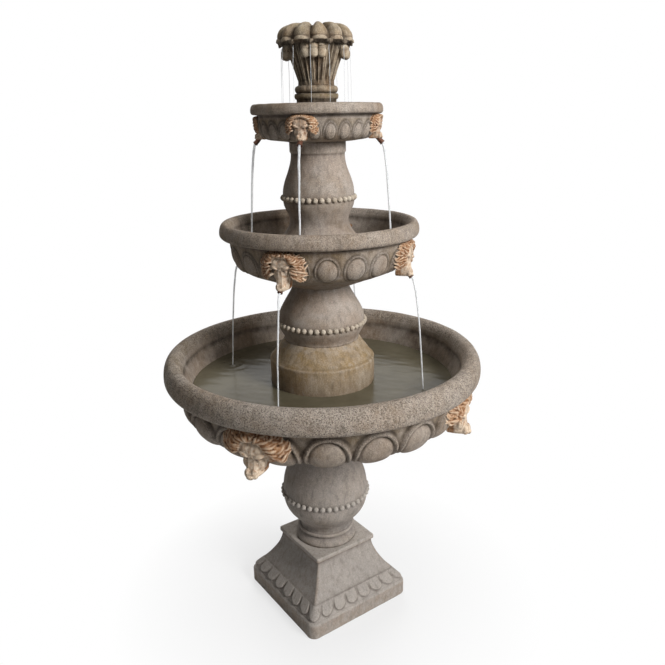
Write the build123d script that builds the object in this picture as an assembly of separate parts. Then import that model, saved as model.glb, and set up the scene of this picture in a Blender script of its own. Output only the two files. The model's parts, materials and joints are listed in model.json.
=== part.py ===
from build123d import *
import os
from math import atan2, cos, degrees, hypot, radians, sin

# Three-tier garden fountain in cast stone. Millimetres, +Z up, origin on the
# ground under the middle of the plinth. Each casting is drawn from its own
# seat upwards and then stacked, so a change of one height carries the rest.
# Profiles are drawn as (radius, height).

# Fits and clearances
BED_GAP = 0.3             # bedding joint under a casting that lifts off
SPIGOT_CLEARANCE = 1.0    # a spigot inside its socket
HOSE_CLEARANCE = 3.5      # riser hose in the castings' bores
GROMMET_CLEARANCE = 0.4   # riser hose in a rubber grommet
TUBE_FIT = 0.1            # spout tubes in the bowls and masks
SLIP = 0.3                # pump pieces that come apart by hand
SHAFT_RUNNING = 0.08      # rotor on its shaft

# Spigots that centre one casting on the next
SPIGOT_R = 44.0
SPIGOT_H = 8.0

# Riser hose
HOSE_R = 11.0
HOSE_WALL = 2.8

# Plinth
PLINTH_SIDE = 402.0
PLINTH_CORNER_R = 28.0
PLINTH_BAND_H = 58.0
PLINTH_BAND_ROUND = 9.0
PLINTH_FOOT_SIDE = 330.0
PLINTH_SLOPE_H = 40.0
PLINTH_BODY_H = 114.0
PLINTH_WAIST_SIDE = 226.0
PLINTH_EDGE_R = 5.0
PLINTH_FLARE = 1.7
PLINTH_PLATE_SIDE = 239.0
PLINTH_PLATE_T = 16.0
PLINTH_WALL = 32.0
TONGUE_COUNT = 7
TONGUE_WIDTH = 29.0
TONGUE_PROUD = 5.0
CORD_NOTCH_R = 12.0

# Balusters: the plain margin above and below a string of beads
BEAD_MARGIN = 1.0

# Fullness of the balusters' curves, as shares of their rise or run
CURVE_LEAD = 0.45
CROWN_LEAD = 0.55
LOWER_ROOT_LEAD = 0.25
LOWER_BELLY_LEAD = 0.55
MIDDLE_FOOT_LEAD = 0.3
MIDDLE_SHOULDER_LEAD = 0.36
MIDDLE_NECK_LEAD = 0.3
MIDDLE_NECK_FLARE = 0.24
UPPER_LEAD = 0.4
UPPER_SCOTIA_LEAD = 0.55

# Lower baluster
LOWER_BALUSTER_H = 412.0
LOWER_BORE_R = 70.0
LOWER_FOOT_R = 104.0
LOWER_FOOT_H = 11.0
LOWER_COVE_H = 12.0
LOWER_RING_R = 97.0
LOWER_RING_H = 14.0
LOWER_GROOVE_R = 91.0
LOWER_BELLY_R = 143.0
LOWER_BELLY_Z = 174.0
LOWER_NECK_R = 100.0
LOWER_NECK_Z = 365.0
LOWER_CROWN_R = 112.0
LOWER_BEADS = 42
LOWER_BEAD_R = 7.3

# Lower basin
BASIN_SEAT_R = 118.0
BASIN_KNUCKLE_R = 433.0
BASIN_KNUCKLE_Z = 82.0
BASIN_TURN_R = 80.0
BASIN_NECK_R = 444.0
BASIN_RIM_R = 470.0
BASIN_RIM_Z = 222.0
BASIN_RIM_HALF_W = 30.0
BASIN_RIM_UP = 49.0
BASIN_RIM_DOWN = 29.0
BASIN_INNER_R = 392.0
BASIN_INNER_Z = 108.0
BASIN_INNER_TURN_R = 50.0
BASIN_WELL_R = 186.0
BASIN_WELL_Z = 44.0
BASIN_SPIGOT_WALL = 7.0
BASIN_SPIGOT_H = 10.0
CORD_HOLE_R = 14.0
CORD_HOLE_X = 34.0
CORD_HOLE_Y = 34.0

# Pump cover drum
DRUM_R = 166.0
DRUM_WALL = 18.0
DRUM_WALL_H = 207.0
DRUM_H = 264.0
DRUM_TOP_R = 119.0
DRUM_TOP_T = 22.0
DRUM_SLOTS = 4
DRUM_SLOT_W = 48.0
DRUM_SLOT_H = 36.0

# Middle baluster
MIDDLE_BALUSTER_H = 173.0
MIDDLE_FOOT_R = 116.0
MIDDLE_BELLY_R = 135.0
MIDDLE_BELLY_Z = 56.0
MIDDLE_CROWN_R = 86.0
MIDDLE_BEADS = 44
MIDDLE_BEAD_R = 7.2

# Middle bowl
MIDDLE_SEAT_R = 89.0
MIDDLE_KNUCKLE_R = 252.0
MIDDLE_KNUCKLE_Z = 63.0
MIDDLE_TURN_R = 62.0
MIDDLE_NECK_R = 272.0
MIDDLE_RIM_R = 284.0
MIDDLE_RIM_Z = 167.0
MIDDLE_RIM_HALF_W = 17.0
MIDDLE_RIM_UP = 31.0
MIDDLE_RIM_DOWN = 14.0
MIDDLE_INNER_R = 230.0
MIDDLE_INNER_Z = 76.0
MIDDLE_INNER_TURN_R = 34.0
MIDDLE_WELL_R = 140.0
MIDDLE_WELL_Z = 44.0

# Upper baluster
UPPER_BALUSTER_H = 379.0
UPPER_FOOT_R = 122.0
UPPER_FOOT_H = 98.0
UPPER_WAIST_R = 88.5
UPPER_WAIST_Z = 152.0
UPPER_BELLY_R = 106.5
UPPER_BELLY_Z = 220.0
UPPER_NECK_R = 79.0
UPPER_NECK_Z = 346.0
UPPER_COLLAR_R = 82.5
UPPER_COLLAR_H = 25.0
UPPER_GROOVE_H = 4.0
UPPER_BEADS = 36
UPPER_BEAD_R = 7.2

# Top bowl
TOP_SEAT_R = 85.0
TOP_KNUCKLE_R = 159.0
TOP_KNUCKLE_Z = 8.0
TOP_TURN_R = 34.0
TOP_NECK_R = 171.0
TOP_RIM_R = 179.0
TOP_RIM_Z = 85.0
TOP_RIM_HALF_W = 12.0
TOP_RIM_UP = 19.0
TOP_RIM_DOWN = 11.0
TOP_INNER_R = 141.0
TOP_INNER_Z = 26.0
TOP_INNER_TURN_R = 26.0
TOP_WELL_R = 96.0
TOP_WELL_Z = 18.0

# Egg ornament: how many round a bowl, where the first one stands, and each
# egg's width, projection, and how far it leans down on the bowl's turn
EGG_SUNK = 14.0
LOWER_EGGS = 20
LOWER_EGG_TURN = 2.6
LOWER_EGG_W = 114.0
LOWER_EGG_PROUD = 16.0
LOWER_EGG_LEAN = 22.0
MIDDLE_EGGS = 20
MIDDLE_EGG_TURN = 5.6
MIDDLE_EGG_W = 74.0
MIDDLE_EGG_PROUD = 9.0
MIDDLE_EGG_LEAN = 18.0
TOP_EGGS = 24
TOP_EGG_TURN = 7.9
TOP_EGG_W = 38.0
TOP_EGG_PROUD = 6.0
TOP_EGG_LEAN = 13.0

# Lion masks: four to a bowl, the first one's bearing, the mane's size, and
# how far the muzzle stands out from the wall and hangs under the mane's middle
MASKS = 4
LOWER_MASK_TURN = 31.1
LOWER_MASK_W = 198.0
LOWER_MASK_H = 124.0
LOWER_NOSE_OUT = 24.0
LOWER_NOSE_DROP = 72.0
MIDDLE_MASK_TURN = 33.1
MIDDLE_MASK_W = 138.0
MIDDLE_MASK_H = 96.0
MIDDLE_NOSE_OUT = 20.0
MIDDLE_NOSE_DROP = 56.0
TOP_MASK_TURN = 41.1
TOP_MASK_W = 88.0
TOP_MASK_H = 66.0
TOP_NOSE_OUT = 13.0
TOP_NOSE_DROP = 32.0
MANE_TUFTS = 12
MANE_SPREAD = 256.0       # degrees of the ring of tufts, open under the chin

# Parts of a mask, as shares of the mane's width or height
MANE_TUFT = 0.125
MANE_BRIM = 0.1           # how far the tufts over the brow stand forward
FACE_R = 0.2
FACE_OUT = 0.06
MUZZLE_R = 0.15
NOSE_R = 0.09
BROW_R = 0.065
BROW_OUT = 0.15
BROW_APART = 0.085
BROW_UP = 0.12
CHEEK_R = 0.13
CHEEK_APART = 0.17
CHEEK_DOWN = 0.12

# Spout tubes in the middle and top masks
SPOUT_R = 6.5
SPOUT_BORE_R = 4.7
SPOUT_REACH = 12.0        # beyond the lion's lip
SPOUT_SLOPE = 45.0        # degrees below level
MIDDLE_SPOUT_L = 84.0
TOP_SPOUT_L = 66.0

# Finial vase
VASE_H = 242.0
VASE_BASE_R = 57.0
VASE_BASE_H = 112.0
VASE_RING_R = 63.0
VASE_RING_H = 13.0
VASE_TORUS_R = 60.0
VASE_TORUS_H = 20.0
VASE_NECK_R = 50.0
VASE_NECK_Z = 148.0
VASE_TOP_R = 84.0
FLUTES = 12
FLUTE_R = 9.5
FLUTE_DEPTH = 4.0
FLUTE_START = 14.0        # up the flare from the neck
LEAVES = 4
LEAF_TURN = 51.6
LEAF_TIPS = 3
LEAF_TIP_R = 14.0
LEAF_TIP_PITCH = 21.0
LEAF_DROP = 32.0          # middle of the leaf rolls below the vase's top

# Finial cap
CAP_LOBES = 12
CAP_TURN = 2.6
CAP_R = 112.0
CAP_H = 52.0
CAP_SKIRT = 8.0
CAP_SKIRT_IN = 92.0
CAP_LOBE_R = 29.0
CAP_LOBE_Z = 12.0
CAP_RIDGE_R = 16.0
CAP_CROWN_R = 26.0
CAP_ARCH_R = 21.0
CAP_ARCH_RISE = 14.0
JET_R = 16.0
JET_FLANGE_T = 5.0
JET_STUB_H = 22.0

# Submersible pump, standing on the basin floor with its outlet on the axis
PUMP_BACK = 76.0
PUMP_FRONT = 10.0
PUMP_W = 62.0
PUMP_H = 74.0
PUMP_ROUND = 7.0
PUMP_AXIS_H = 34.0
PUMP_FOOT_H = 10.0
PUMP_FOOT_R = 9.0
PUMP_FOOT_INSET = 14.0
CHAMBER_R = 25.0
CHAMBER_L = 20.0
WELL_R = 13.5
WELL_L = 48.0
SHAFT_R = 2.0
SHAFT_SOCKET = 6.0
ROTOR_R = 12.5
ROTOR_MARGIN = 2.5
IMPELLER_R = 21.0
IMPELLER_L = 12.0
IMPELLER_HUB_R = 7.0
IMPELLER_VANES = 6
VANE_T = 2.4
NOZZLE_R = 8.0
NOZZLE_BORE_R = 5.5
NOZZLE_H = 30.0
NOZZLE_FLANGE_R = 13.0
NOZZLE_FLANGE_T = 4.0
CLAMP_T = 1.6
CLAMP_H = 9.0
CLAMP_Z = 14.0
CLAMP_EAR = 7.0
COVER_L = 17.0
COVER_H = 62.0
COVER_WALL = 2.6
COVER_BARS = 7
COVER_BAR_W = 3.2
COVER_PLUG_H = 3.0
DIAL_R = 10.5
DIAL_T = 4.0
DIAL_STEM_R = 3.2
DIAL_PAD_R = 13.0
DIAL_RIB = 2.4
GLAND_R = 7.0
GLAND_L = 12.0
GLAND_BORE_R = 3.6

# Rubber pieces
STOPPER_FLANGE_R = 18.0
STOPPER_FLANGE_T = 4.0
STOPPER_BORE_R = 3.6
GROMMET_R = 19.0

# Levels at which the castings stand, and the radii of the hose's way up
Z_BALUSTER = PLINTH_BAND_H + PLINTH_SLOPE_H + PLINTH_BODY_H + PLINTH_PLATE_T
Z_BASIN = Z_BALUSTER + LOWER_BALUSTER_H
Z_FLOOR = Z_BASIN + BASIN_WELL_Z
Z_DRUM = Z_FLOOR + BED_GAP
Z_MIDDLE_BALUSTER = Z_DRUM + DRUM_H + BED_GAP
Z_MIDDLE_BOWL = Z_MIDDLE_BALUSTER + MIDDLE_BALUSTER_H + BED_GAP
Z_UPPER_BALUSTER = Z_MIDDLE_BOWL + MIDDLE_WELL_Z + BED_GAP
Z_TOP_BOWL = Z_UPPER_BALUSTER + UPPER_BALUSTER_H + BED_GAP
Z_VASE = Z_TOP_BOWL + TOP_WELL_Z + BED_GAP
Z_CAP = Z_VASE + VASE_H
Z_PUMP = Z_FLOOR + PUMP_FOOT_H
HOSE_BORE_R = HOSE_R + HOSE_CLEARANCE
SOCKET_R = SPIGOT_R + SPIGOT_CLEARANCE
SOCKET_H = SPIGOT_H + SPIGOT_CLEARANCE
BOTTOM = (Align.CENTER, Align.CENTER, Align.MIN)


# Drawing helpers
def lathe(*edges):
    """Solid of revolution about Z from a closed outline of (radius, height)."""
    return revolve(Plane.XZ * make_face(edges), Axis.Z)


def upright_curve(a, b, lead=CURVE_LEAD, end_lead=None):
    """S-curve that leaves a and reaches b standing upright."""
    a, b = Vector(a), Vector(b)
    rise = Vector(0, b.Y - a.Y)
    return Bezier(a, a + rise * lead, b - rise * (end_lead or lead), b)


def quarter_curve(a, b, lead=CROWN_LEAD):
    """Quarter turn that leaves a level and reaches b upright."""
    return Bezier(a, (a[0] + (b[0] - a[0]) * lead, a[1]), (b[0], b[1] - (b[1] - a[1]) * lead), b)


def tube(radius, bore, height):
    return extrude(Circle(radius) - Circle(bore), height)


def lying(radius, length):
    """Cylinder from the origin along +X."""
    return extrude(Plane.YZ * Circle(radius), length)


def around(count, shape, first=0.0):
    return [Rot(0, 0, first + 360 / count * i) * shape for i in range(count)]


def beads(count, ring_r, bead_r, height):
    return around(count, Pos(ring_r, 0, height) * Sphere(bead_r))


def bead_band(radius, height, bead_r):
    """Upright stretch of a belly that carries the beads."""
    half = bead_r + BEAD_MARGIN
    return Line((radius, height - half), (radius, height + half))


def spigot(height):
    """Ring on a casting's top face that centres the piece above."""
    return Pos(0, 0, height) * tube(SPIGOT_R, HOSE_BORE_R, SPIGOT_H)


def socket_and_bore(height):
    """Cutter for the socket in a casting's underside and the hose's bore."""
    return Cylinder(SOCKET_R, 2 * SOCKET_H) + Cylinder(HOSE_BORE_R, 3 * height)


# Plinth: square band, sloping tongues, concave body and top plate
def square(side, corner, height):
    return Pos(0, 0, height) * RectangleRounded(side, side, corner)


def tongue(centre_r, offset, height, length, slope):
    blank = extrude(SlotOverall(length, TONGUE_WIDTH), TONGUE_PROUD, both=True)
    return Pos(centre_r, offset, height) * Rot(0, slope, 0) * blank


def make_plinth():
    band = extrude(square(PLINTH_SIDE, PLINTH_CORNER_R, 0), PLINTH_BAND_H)
    band = fillet(band.faces().sort_by(Axis.Z)[-1].edges(), PLINTH_BAND_ROUND)
    shoulder = PLINTH_SIDE - 2 * PLINTH_BAND_ROUND
    z_foot = PLINTH_BAND_H + PLINTH_SLOPE_H
    z_waist = z_foot + PLINTH_BODY_H
    slope_part = loft(
        [
            square(shoulder, PLINTH_CORNER_R - PLINTH_BAND_ROUND, PLINTH_BAND_H),
            square(PLINTH_FOOT_SIDE, PLINTH_EDGE_R, z_foot),
        ],
        ruled=True,
    )
    steps = 4
    sections = []
    for i in range(steps + 1):
        t = i / steps
        side = PLINTH_WAIST_SIDE + (PLINTH_FOOT_SIDE - PLINTH_WAIST_SIDE) * (1 - t) ** PLINTH_FLARE
        sections.append(square(side, PLINTH_EDGE_R, z_foot + PLINTH_BODY_H * t))
    body = loft(sections)
    plate = extrude(square(PLINTH_PLATE_SIDE, PLINTH_EDGE_R, z_waist), PLINTH_PLATE_T)
    plate = fillet(plate.edges().filter_by(Axis.Z, reverse=True), PLINTH_PLATE_T / 5)

    run = (shoulder - PLINTH_FOOT_SIDE) / 2
    slope_l = hypot(run, PLINTH_SLOPE_H)
    slope = degrees(atan2(PLINTH_SLOPE_H, run))
    middle_r = (shoulder + PLINTH_FOOT_SIDE) / 4
    middle_z = PLINTH_BAND_H + PLINTH_SLOPE_H / 2
    pitch = PLINTH_FOOT_SIDE / TONGUE_COUNT
    tongues = []
    for side_turn in range(4):
        for i in range(TONGUE_COUNT):
            offset = pitch * (i - (TONGUE_COUNT - 1) / 2)
            blank = tongue(middle_r, offset, middle_z, slope_l - TONGUE_PROUD, slope)
            tongues.append(Rot(0, 0, 90 * side_turn) * blank)
    cavity = loft(
        [
            square(PLINTH_SIDE - 2 * PLINTH_WALL, PLINTH_EDGE_R, 0),
            square(PLINTH_WAIST_SIDE - 2 * PLINTH_WALL, PLINTH_EDGE_R, z_waist - PLINTH_PLATE_T),
        ],
        ruled=True,
    )
    bore = Cylinder(LOWER_BORE_R, 3 * Z_BALUSTER)
    notch = Rot(90, 0, 0) * extrude(Circle(CORD_NOTCH_R), -PLINTH_SIDE)
    return band + slope_part + body + plate + tongues - cavity - bore - notch


# Balusters: turned profiles with a string of beads round the belly
def make_lower_baluster():
    cove_top = LOWER_FOOT_H + LOWER_COVE_H
    ring_top = cove_top + LOWER_RING_H
    band = bead_band(LOWER_BELLY_R, LOWER_BELLY_Z, LOWER_BEAD_R)
    neck = (LOWER_NECK_R, LOWER_NECK_Z)
    groove = (LOWER_GROOVE_R, ring_top)
    cove = (LOWER_GROOVE_R, cove_top)
    solid = lathe(
        Polyline(
            (LOWER_BORE_R, LOWER_BALUSTER_H),
            (LOWER_BORE_R, 0),
            (LOWER_FOOT_R, 0),
            (LOWER_FOOT_R, LOWER_FOOT_H),
        ),
        Bezier((LOWER_FOOT_R, LOWER_FOOT_H), (LOWER_GROOVE_R, LOWER_FOOT_H), cove),
        ThreePointArc(cove, (LOWER_RING_R, cove_top + LOWER_RING_H / 2), groove),
        upright_curve(groove, band @ 0, LOWER_ROOT_LEAD, LOWER_BELLY_LEAD),
        band,
        upright_curve(band @ 1, neck),
        quarter_curve((LOWER_CROWN_R, LOWER_BALUSTER_H), neck),
        Line((LOWER_CROWN_R, LOWER_BALUSTER_H), (LOWER_BORE_R, LOWER_BALUSTER_H)),
    )
    return solid + beads(LOWER_BEADS, LOWER_BELLY_R, LOWER_BEAD_R, LOWER_BELLY_Z)


def make_middle_baluster():
    band = bead_band(MIDDLE_BELLY_R, MIDDLE_BELLY_Z, MIDDLE_BEAD_R)
    crown = (MIDDLE_CROWN_R, MIDDLE_BALUSTER_H)
    rise = MIDDLE_BALUSTER_H - MIDDLE_BELLY_Z
    run = MIDDLE_BELLY_R - MIDDLE_CROWN_R
    solid = lathe(
        Polyline((0, MIDDLE_BALUSTER_H), (0, 0), (MIDDLE_FOOT_R, 0)),
        upright_curve((MIDDLE_FOOT_R, 0), band @ 0, MIDDLE_FOOT_LEAD),
        band,
        Bezier(
            band @ 1,
            (MIDDLE_BELLY_R, MIDDLE_BELLY_Z + rise * MIDDLE_SHOULDER_LEAD),
            (MIDDLE_CROWN_R + run * MIDDLE_NECK_FLARE, MIDDLE_BALUSTER_H - rise * MIDDLE_NECK_LEAD),
            crown,
        ),
        Line(crown, (0, MIDDLE_BALUSTER_H)),
    )
    solid += beads(MIDDLE_BEADS, MIDDLE_BELLY_R, MIDDLE_BEAD_R, MIDDLE_BELLY_Z)
    return solid + spigot(MIDDLE_BALUSTER_H) - socket_and_bore(MIDDLE_BALUSTER_H)


def make_upper_baluster():
    waist = (UPPER_WAIST_R, UPPER_WAIST_Z)
    band = bead_band(UPPER_BELLY_R, UPPER_BELLY_Z, UPPER_BEAD_R)
    neck = (UPPER_NECK_R, UPPER_NECK_Z)
    collar_z = UPPER_BALUSTER_H - UPPER_COLLAR_H
    solid = lathe(
        Polyline((0, UPPER_BALUSTER_H), (0, 0), (UPPER_FOOT_R, 0), (UPPER_FOOT_R, UPPER_FOOT_H)),
        Bezier(
            (UPPER_FOOT_R, UPPER_FOOT_H),
            (UPPER_WAIST_R, UPPER_FOOT_H + (UPPER_WAIST_Z - UPPER_FOOT_H) * UPPER_SCOTIA_LEAD),
            waist,
        ),
        upright_curve(waist, band @ 0, UPPER_LEAD),
        band,
        upright_curve(band @ 1, neck, UPPER_LEAD),
        Polyline(
            neck,
            (UPPER_COLLAR_R, collar_z - UPPER_GROOVE_H / 2),
            (UPPER_COLLAR_R, UPPER_BALUSTER_H),
            (0, UPPER_BALUSTER_H),
        ),
    )
    solid += beads(UPPER_BEADS, UPPER_BELLY_R, UPPER_BEAD_R, UPPER_BELLY_Z)
    return solid + spigot(UPPER_BALUSTER_H) - socket_and_bore(UPPER_BALUSTER_H)


# Bowls: a turned shell with a rolled rim, and eggs raised round its wall
class Bowl:
    """Sizes of one bowl, as named above, and the outlines drawn from them."""

    def __init__(self, seat_r, knuckle, turn_r, neck_r, rim, inner, inner_turn_r, well):
        self.seat = (seat_r, 0)
        self.knuckle = knuckle
        self.turn_r = turn_r
        self.neck_r = neck_r
        self.rim_r, self.rim_z, self.rim_w, self.rim_up, self.rim_down = rim
        self.crest = (self.rim_r, self.rim_z + self.rim_up)
        self.under_z = self.rim_z - self.rim_down
        self.inner = inner
        self.inner_turn_r = inner_turn_r
        self.well = well

    def rim_arc(self, height, start):
        """A quarter of the rim's roll, which is taller above its widest line than below it."""
        return EllipticalCenterArc(
            (self.rim_r, self.rim_z), self.rim_w, height, start_angle=start, arc_size=90
        )

    def outside(self):
        """The bowl with its hollow filled, without ornament."""
        under_rim = (self.neck_r, self.under_z)
        lower_roll = self.rim_arc(self.rim_down, -90)
        return lathe(
            Polyline(self.crest, (0, self.crest[1]), (0, 0), self.seat),
            FilletPolyline(self.seat, self.knuckle, under_rim, radius=self.turn_r),
            Line(under_rim, lower_roll @ 0),
            lower_roll,
            self.rim_arc(self.rim_up, 0),
        )

    def hollow(self):
        """Cutter for the inside of the bowl, above its floor."""
        roll = self.rim_arc(self.rim_up, 90)
        return lathe(
            roll,
            FilletPolyline(roll @ 1, self.inner, self.well, radius=self.inner_turn_r),
            Polyline(self.well, (0, self.well[1]), (0, self.crest[1]), self.crest),
        )

    def wall_at(self, height):
        """Outside radius of the wall at a height between its turn and its rim."""
        low_r, low_z = self.knuckle
        return low_r + (self.neck_r - low_r) * (height - low_z) / (self.under_z - low_z)

    def turn_at(self, lean):
        """Place on the turn under the wall where the surface leans down by so many degrees."""
        knuckle = Vector(self.knuckle)
        inward = (Vector(self.seat) - knuckle).normalized()
        upward = (Vector(self.neck_r, self.under_z) - knuckle).normalized()
        half = radians(inward.get_angle(upward) / 2)
        centre = knuckle + (inward + upward).normalized() * (self.turn_r / sin(half))
        return centre.X + self.turn_r * cos(radians(lean)), centre.Y - self.turn_r * sin(radians(lean))


LOWER = Bowl(
    BASIN_SEAT_R, (BASIN_KNUCKLE_R, BASIN_KNUCKLE_Z), BASIN_TURN_R, BASIN_NECK_R,
    (BASIN_RIM_R, BASIN_RIM_Z, BASIN_RIM_HALF_W, BASIN_RIM_UP, BASIN_RIM_DOWN),
    (BASIN_INNER_R, BASIN_INNER_Z), BASIN_INNER_TURN_R, (BASIN_WELL_R, BASIN_WELL_Z),
)
MIDDLE = Bowl(
    MIDDLE_SEAT_R, (MIDDLE_KNUCKLE_R, MIDDLE_KNUCKLE_Z), MIDDLE_TURN_R, MIDDLE_NECK_R,
    (MIDDLE_RIM_R, MIDDLE_RIM_Z, MIDDLE_RIM_HALF_W, MIDDLE_RIM_UP, MIDDLE_RIM_DOWN),
    (MIDDLE_INNER_R, MIDDLE_INNER_Z), MIDDLE_INNER_TURN_R, (MIDDLE_WELL_R, MIDDLE_WELL_Z),
)
TOP = Bowl(
    TOP_SEAT_R, (TOP_KNUCKLE_R, TOP_KNUCKLE_Z), TOP_TURN_R, TOP_NECK_R,
    (TOP_RIM_R, TOP_RIM_Z, TOP_RIM_HALF_W, TOP_RIM_UP, TOP_RIM_DOWN),
    (TOP_INNER_R, TOP_INNER_Z), TOP_INNER_TURN_R, (TOP_WELL_R, TOP_WELL_Z),
)


def dome(radius, proud):
    """Round boss standing on Z, its foot sunk below the wall it sits on."""
    ball_r = (radius ** 2 + proud ** 2) / (2 * proud)
    shoulder = (ball_r ** 2 - radius ** 2 / 4) ** 0.5 - ball_r + proud
    return lathe(
        Polyline((0, proud), (0, -EGG_SUNK), (radius, -EGG_SUNK), (radius, 0)),
        ThreePointArc((radius, 0), (radius / 2, shoulder), (0, proud)),
    )


def eggs(bowl, count, first, width, proud, lean, mask_turn, mask_w):
    """Domed eggs round the turn. The lion masks take the place of those behind them."""
    place_r, place_z = bowl.turn_at(lean)
    egg = Pos(place_r, 0, place_z) * Rot(0, 90 + lean, 0) * dome(width / 2, proud)
    clear = degrees((width + mask_w) / 2 / place_r)
    placed = []
    for i in range(count):
        bearing = first + 360 / count * i
        to_mask = (bearing - mask_turn + 180 / MASKS) % (360 / MASKS) - 180 / MASKS
        if abs(to_mask) > clear:
            placed.append(Rot(0, 0, bearing) * egg)
    return placed


def lion_mask(bowl, width, height, nose_out, nose_drop):
    """Mane, face and muzzle of one lion, facing +X, bedded on the bowl's wall."""
    middle_z = bowl.under_z - height / 2
    wall_r = bowl.wall_at(middle_z)
    tuft_r = width * MANE_TUFT
    pieces = []
    for i in range(MANE_TUFTS):
        bearing = radians(90 + MANE_SPREAD * (i / (MANE_TUFTS - 1) - 0.5))
        side = (width / 2 - tuft_r) * cos(bearing)
        up = (height / 2 - tuft_r) * sin(bearing)
        brim = width * MANE_BRIM * max(sin(bearing), 0)
        out = wall_r + brim - side ** 2 / (2 * wall_r)
        pieces.append(Pos(out, side, middle_z + up) * Sphere(tuft_r))
    face = Vector(wall_r + width * FACE_OUT, 0, middle_z)
    nose = Vector(wall_r + nose_out, 0, middle_z - nose_drop)
    pieces.append(Pos(face) * Sphere(width * FACE_R))
    hang = nose - face
    muzzle = Cone(width * MUZZLE_R, width * NOSE_R, hang.length, align=BOTTOM)
    pieces.append(Plane(origin=face, z_dir=hang) * muzzle)
    pieces.append(Pos(nose) * Sphere(width * NOSE_R))
    for side in (-1, 1):
        brow = face + Vector(width * BROW_OUT, side * width * BROW_APART, height * BROW_UP)
        pieces.append(Pos(brow) * Sphere(width * BROW_R))
        cheek = face + Vector(-width * FACE_OUT, side * width * CHEEK_APART, -height * CHEEK_DOWN)
        pieces.append(Pos(cheek) * Sphere(width * CHEEK_R))
    first, *others = pieces
    return first + others - bowl.outside()


def spout_line(bowl, mask_h, nose_out, nose_drop, length):
    """Place of a spout's inner end, on the bearing +X, and its way out."""
    middle_z = bowl.under_z - mask_h / 2
    lip = (bowl.wall_at(middle_z) + nose_out, middle_z - nose_drop)
    slope = radians(SPOUT_SLOPE)
    tip = (lip[0] + SPOUT_REACH * cos(slope), lip[1] - SPOUT_REACH * sin(slope))
    back = (tip[0] - length * cos(slope), tip[1] + length * sin(slope))
    return Pos(back[0], 0, back[1]) * Rot(0, SPOUT_SLOPE, 0)


def make_lower_basin():
    bowl = LOWER.outside() + eggs(
        LOWER, LOWER_EGGS, LOWER_EGG_TURN, LOWER_EGG_W, LOWER_EGG_PROUD,
        LOWER_EGG_LEAN, LOWER_MASK_TURN, LOWER_MASK_W,
    )
    ring_r = LOWER_BORE_R - SPIGOT_CLEARANCE
    ring = Pos(0, 0, -BASIN_SPIGOT_H) * tube(ring_r, ring_r - BASIN_SPIGOT_WALL, BASIN_SPIGOT_H)
    cord_hole = Pos(CORD_HOLE_X, CORD_HOLE_Y, 0) * Cylinder(CORD_HOLE_R, 3 * BASIN_WELL_Z)
    return bowl - LOWER.hollow() + ring - cord_hole


def make_middle_bowl(spout_cutters):
    bowl = MIDDLE.outside() + eggs(
        MIDDLE, MIDDLE_EGGS, MIDDLE_EGG_TURN, MIDDLE_EGG_W, MIDDLE_EGG_PROUD,
        MIDDLE_EGG_LEAN, MIDDLE_MASK_TURN, MIDDLE_MASK_W,
    )
    return finish_bowl(bowl - MIDDLE.hollow(), MIDDLE_WELL_Z, spout_cutters)


def make_top_bowl(spout_cutters):
    bowl = TOP.outside() + eggs(
        TOP, TOP_EGGS, TOP_EGG_TURN, TOP_EGG_W, TOP_EGG_PROUD,
        TOP_EGG_LEAN, TOP_MASK_TURN, TOP_MASK_W,
    )
    return finish_bowl(bowl - TOP.hollow(), TOP_WELL_Z, spout_cutters)


def finish_bowl(bowl, well_z, spout_cutters):
    """Socket underneath, spigot on the floor, seat for the grommet, spout holes."""
    ring = Pos(0, 0, well_z) * tube(SPIGOT_R, GROMMET_R, SPIGOT_H)
    socket = Cylinder(SOCKET_R, 2 * SOCKET_H)
    return bowl + ring - socket - Cylinder(GROMMET_R, 4 * well_z) - spout_cutters


# Pump cover drum: open underneath, with water slots along its foot
def make_drum():
    inner_r = DRUM_R - DRUM_WALL
    shell = lathe(
        Polyline(
            (inner_r, 0),
            (DRUM_R, 0),
            (DRUM_R, DRUM_WALL_H),
            (DRUM_TOP_R, DRUM_H),
            (0, DRUM_H),
            (0, DRUM_H - DRUM_TOP_T),
            (DRUM_TOP_R - DRUM_WALL, DRUM_H - DRUM_TOP_T),
            (inner_r, DRUM_WALL_H - DRUM_WALL / 2),
            close=True,
        )
    )
    slot = Pos(inner_r + DRUM_WALL / 2, 0, 0) * Box(2 * DRUM_WALL, DRUM_SLOT_W, 2 * DRUM_SLOT_H)
    bore = Cylinder(HOSE_BORE_R, 3 * DRUM_H)
    return shell + spigot(DRUM_H) - bore - around(DRUM_SLOTS, slot)


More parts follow.
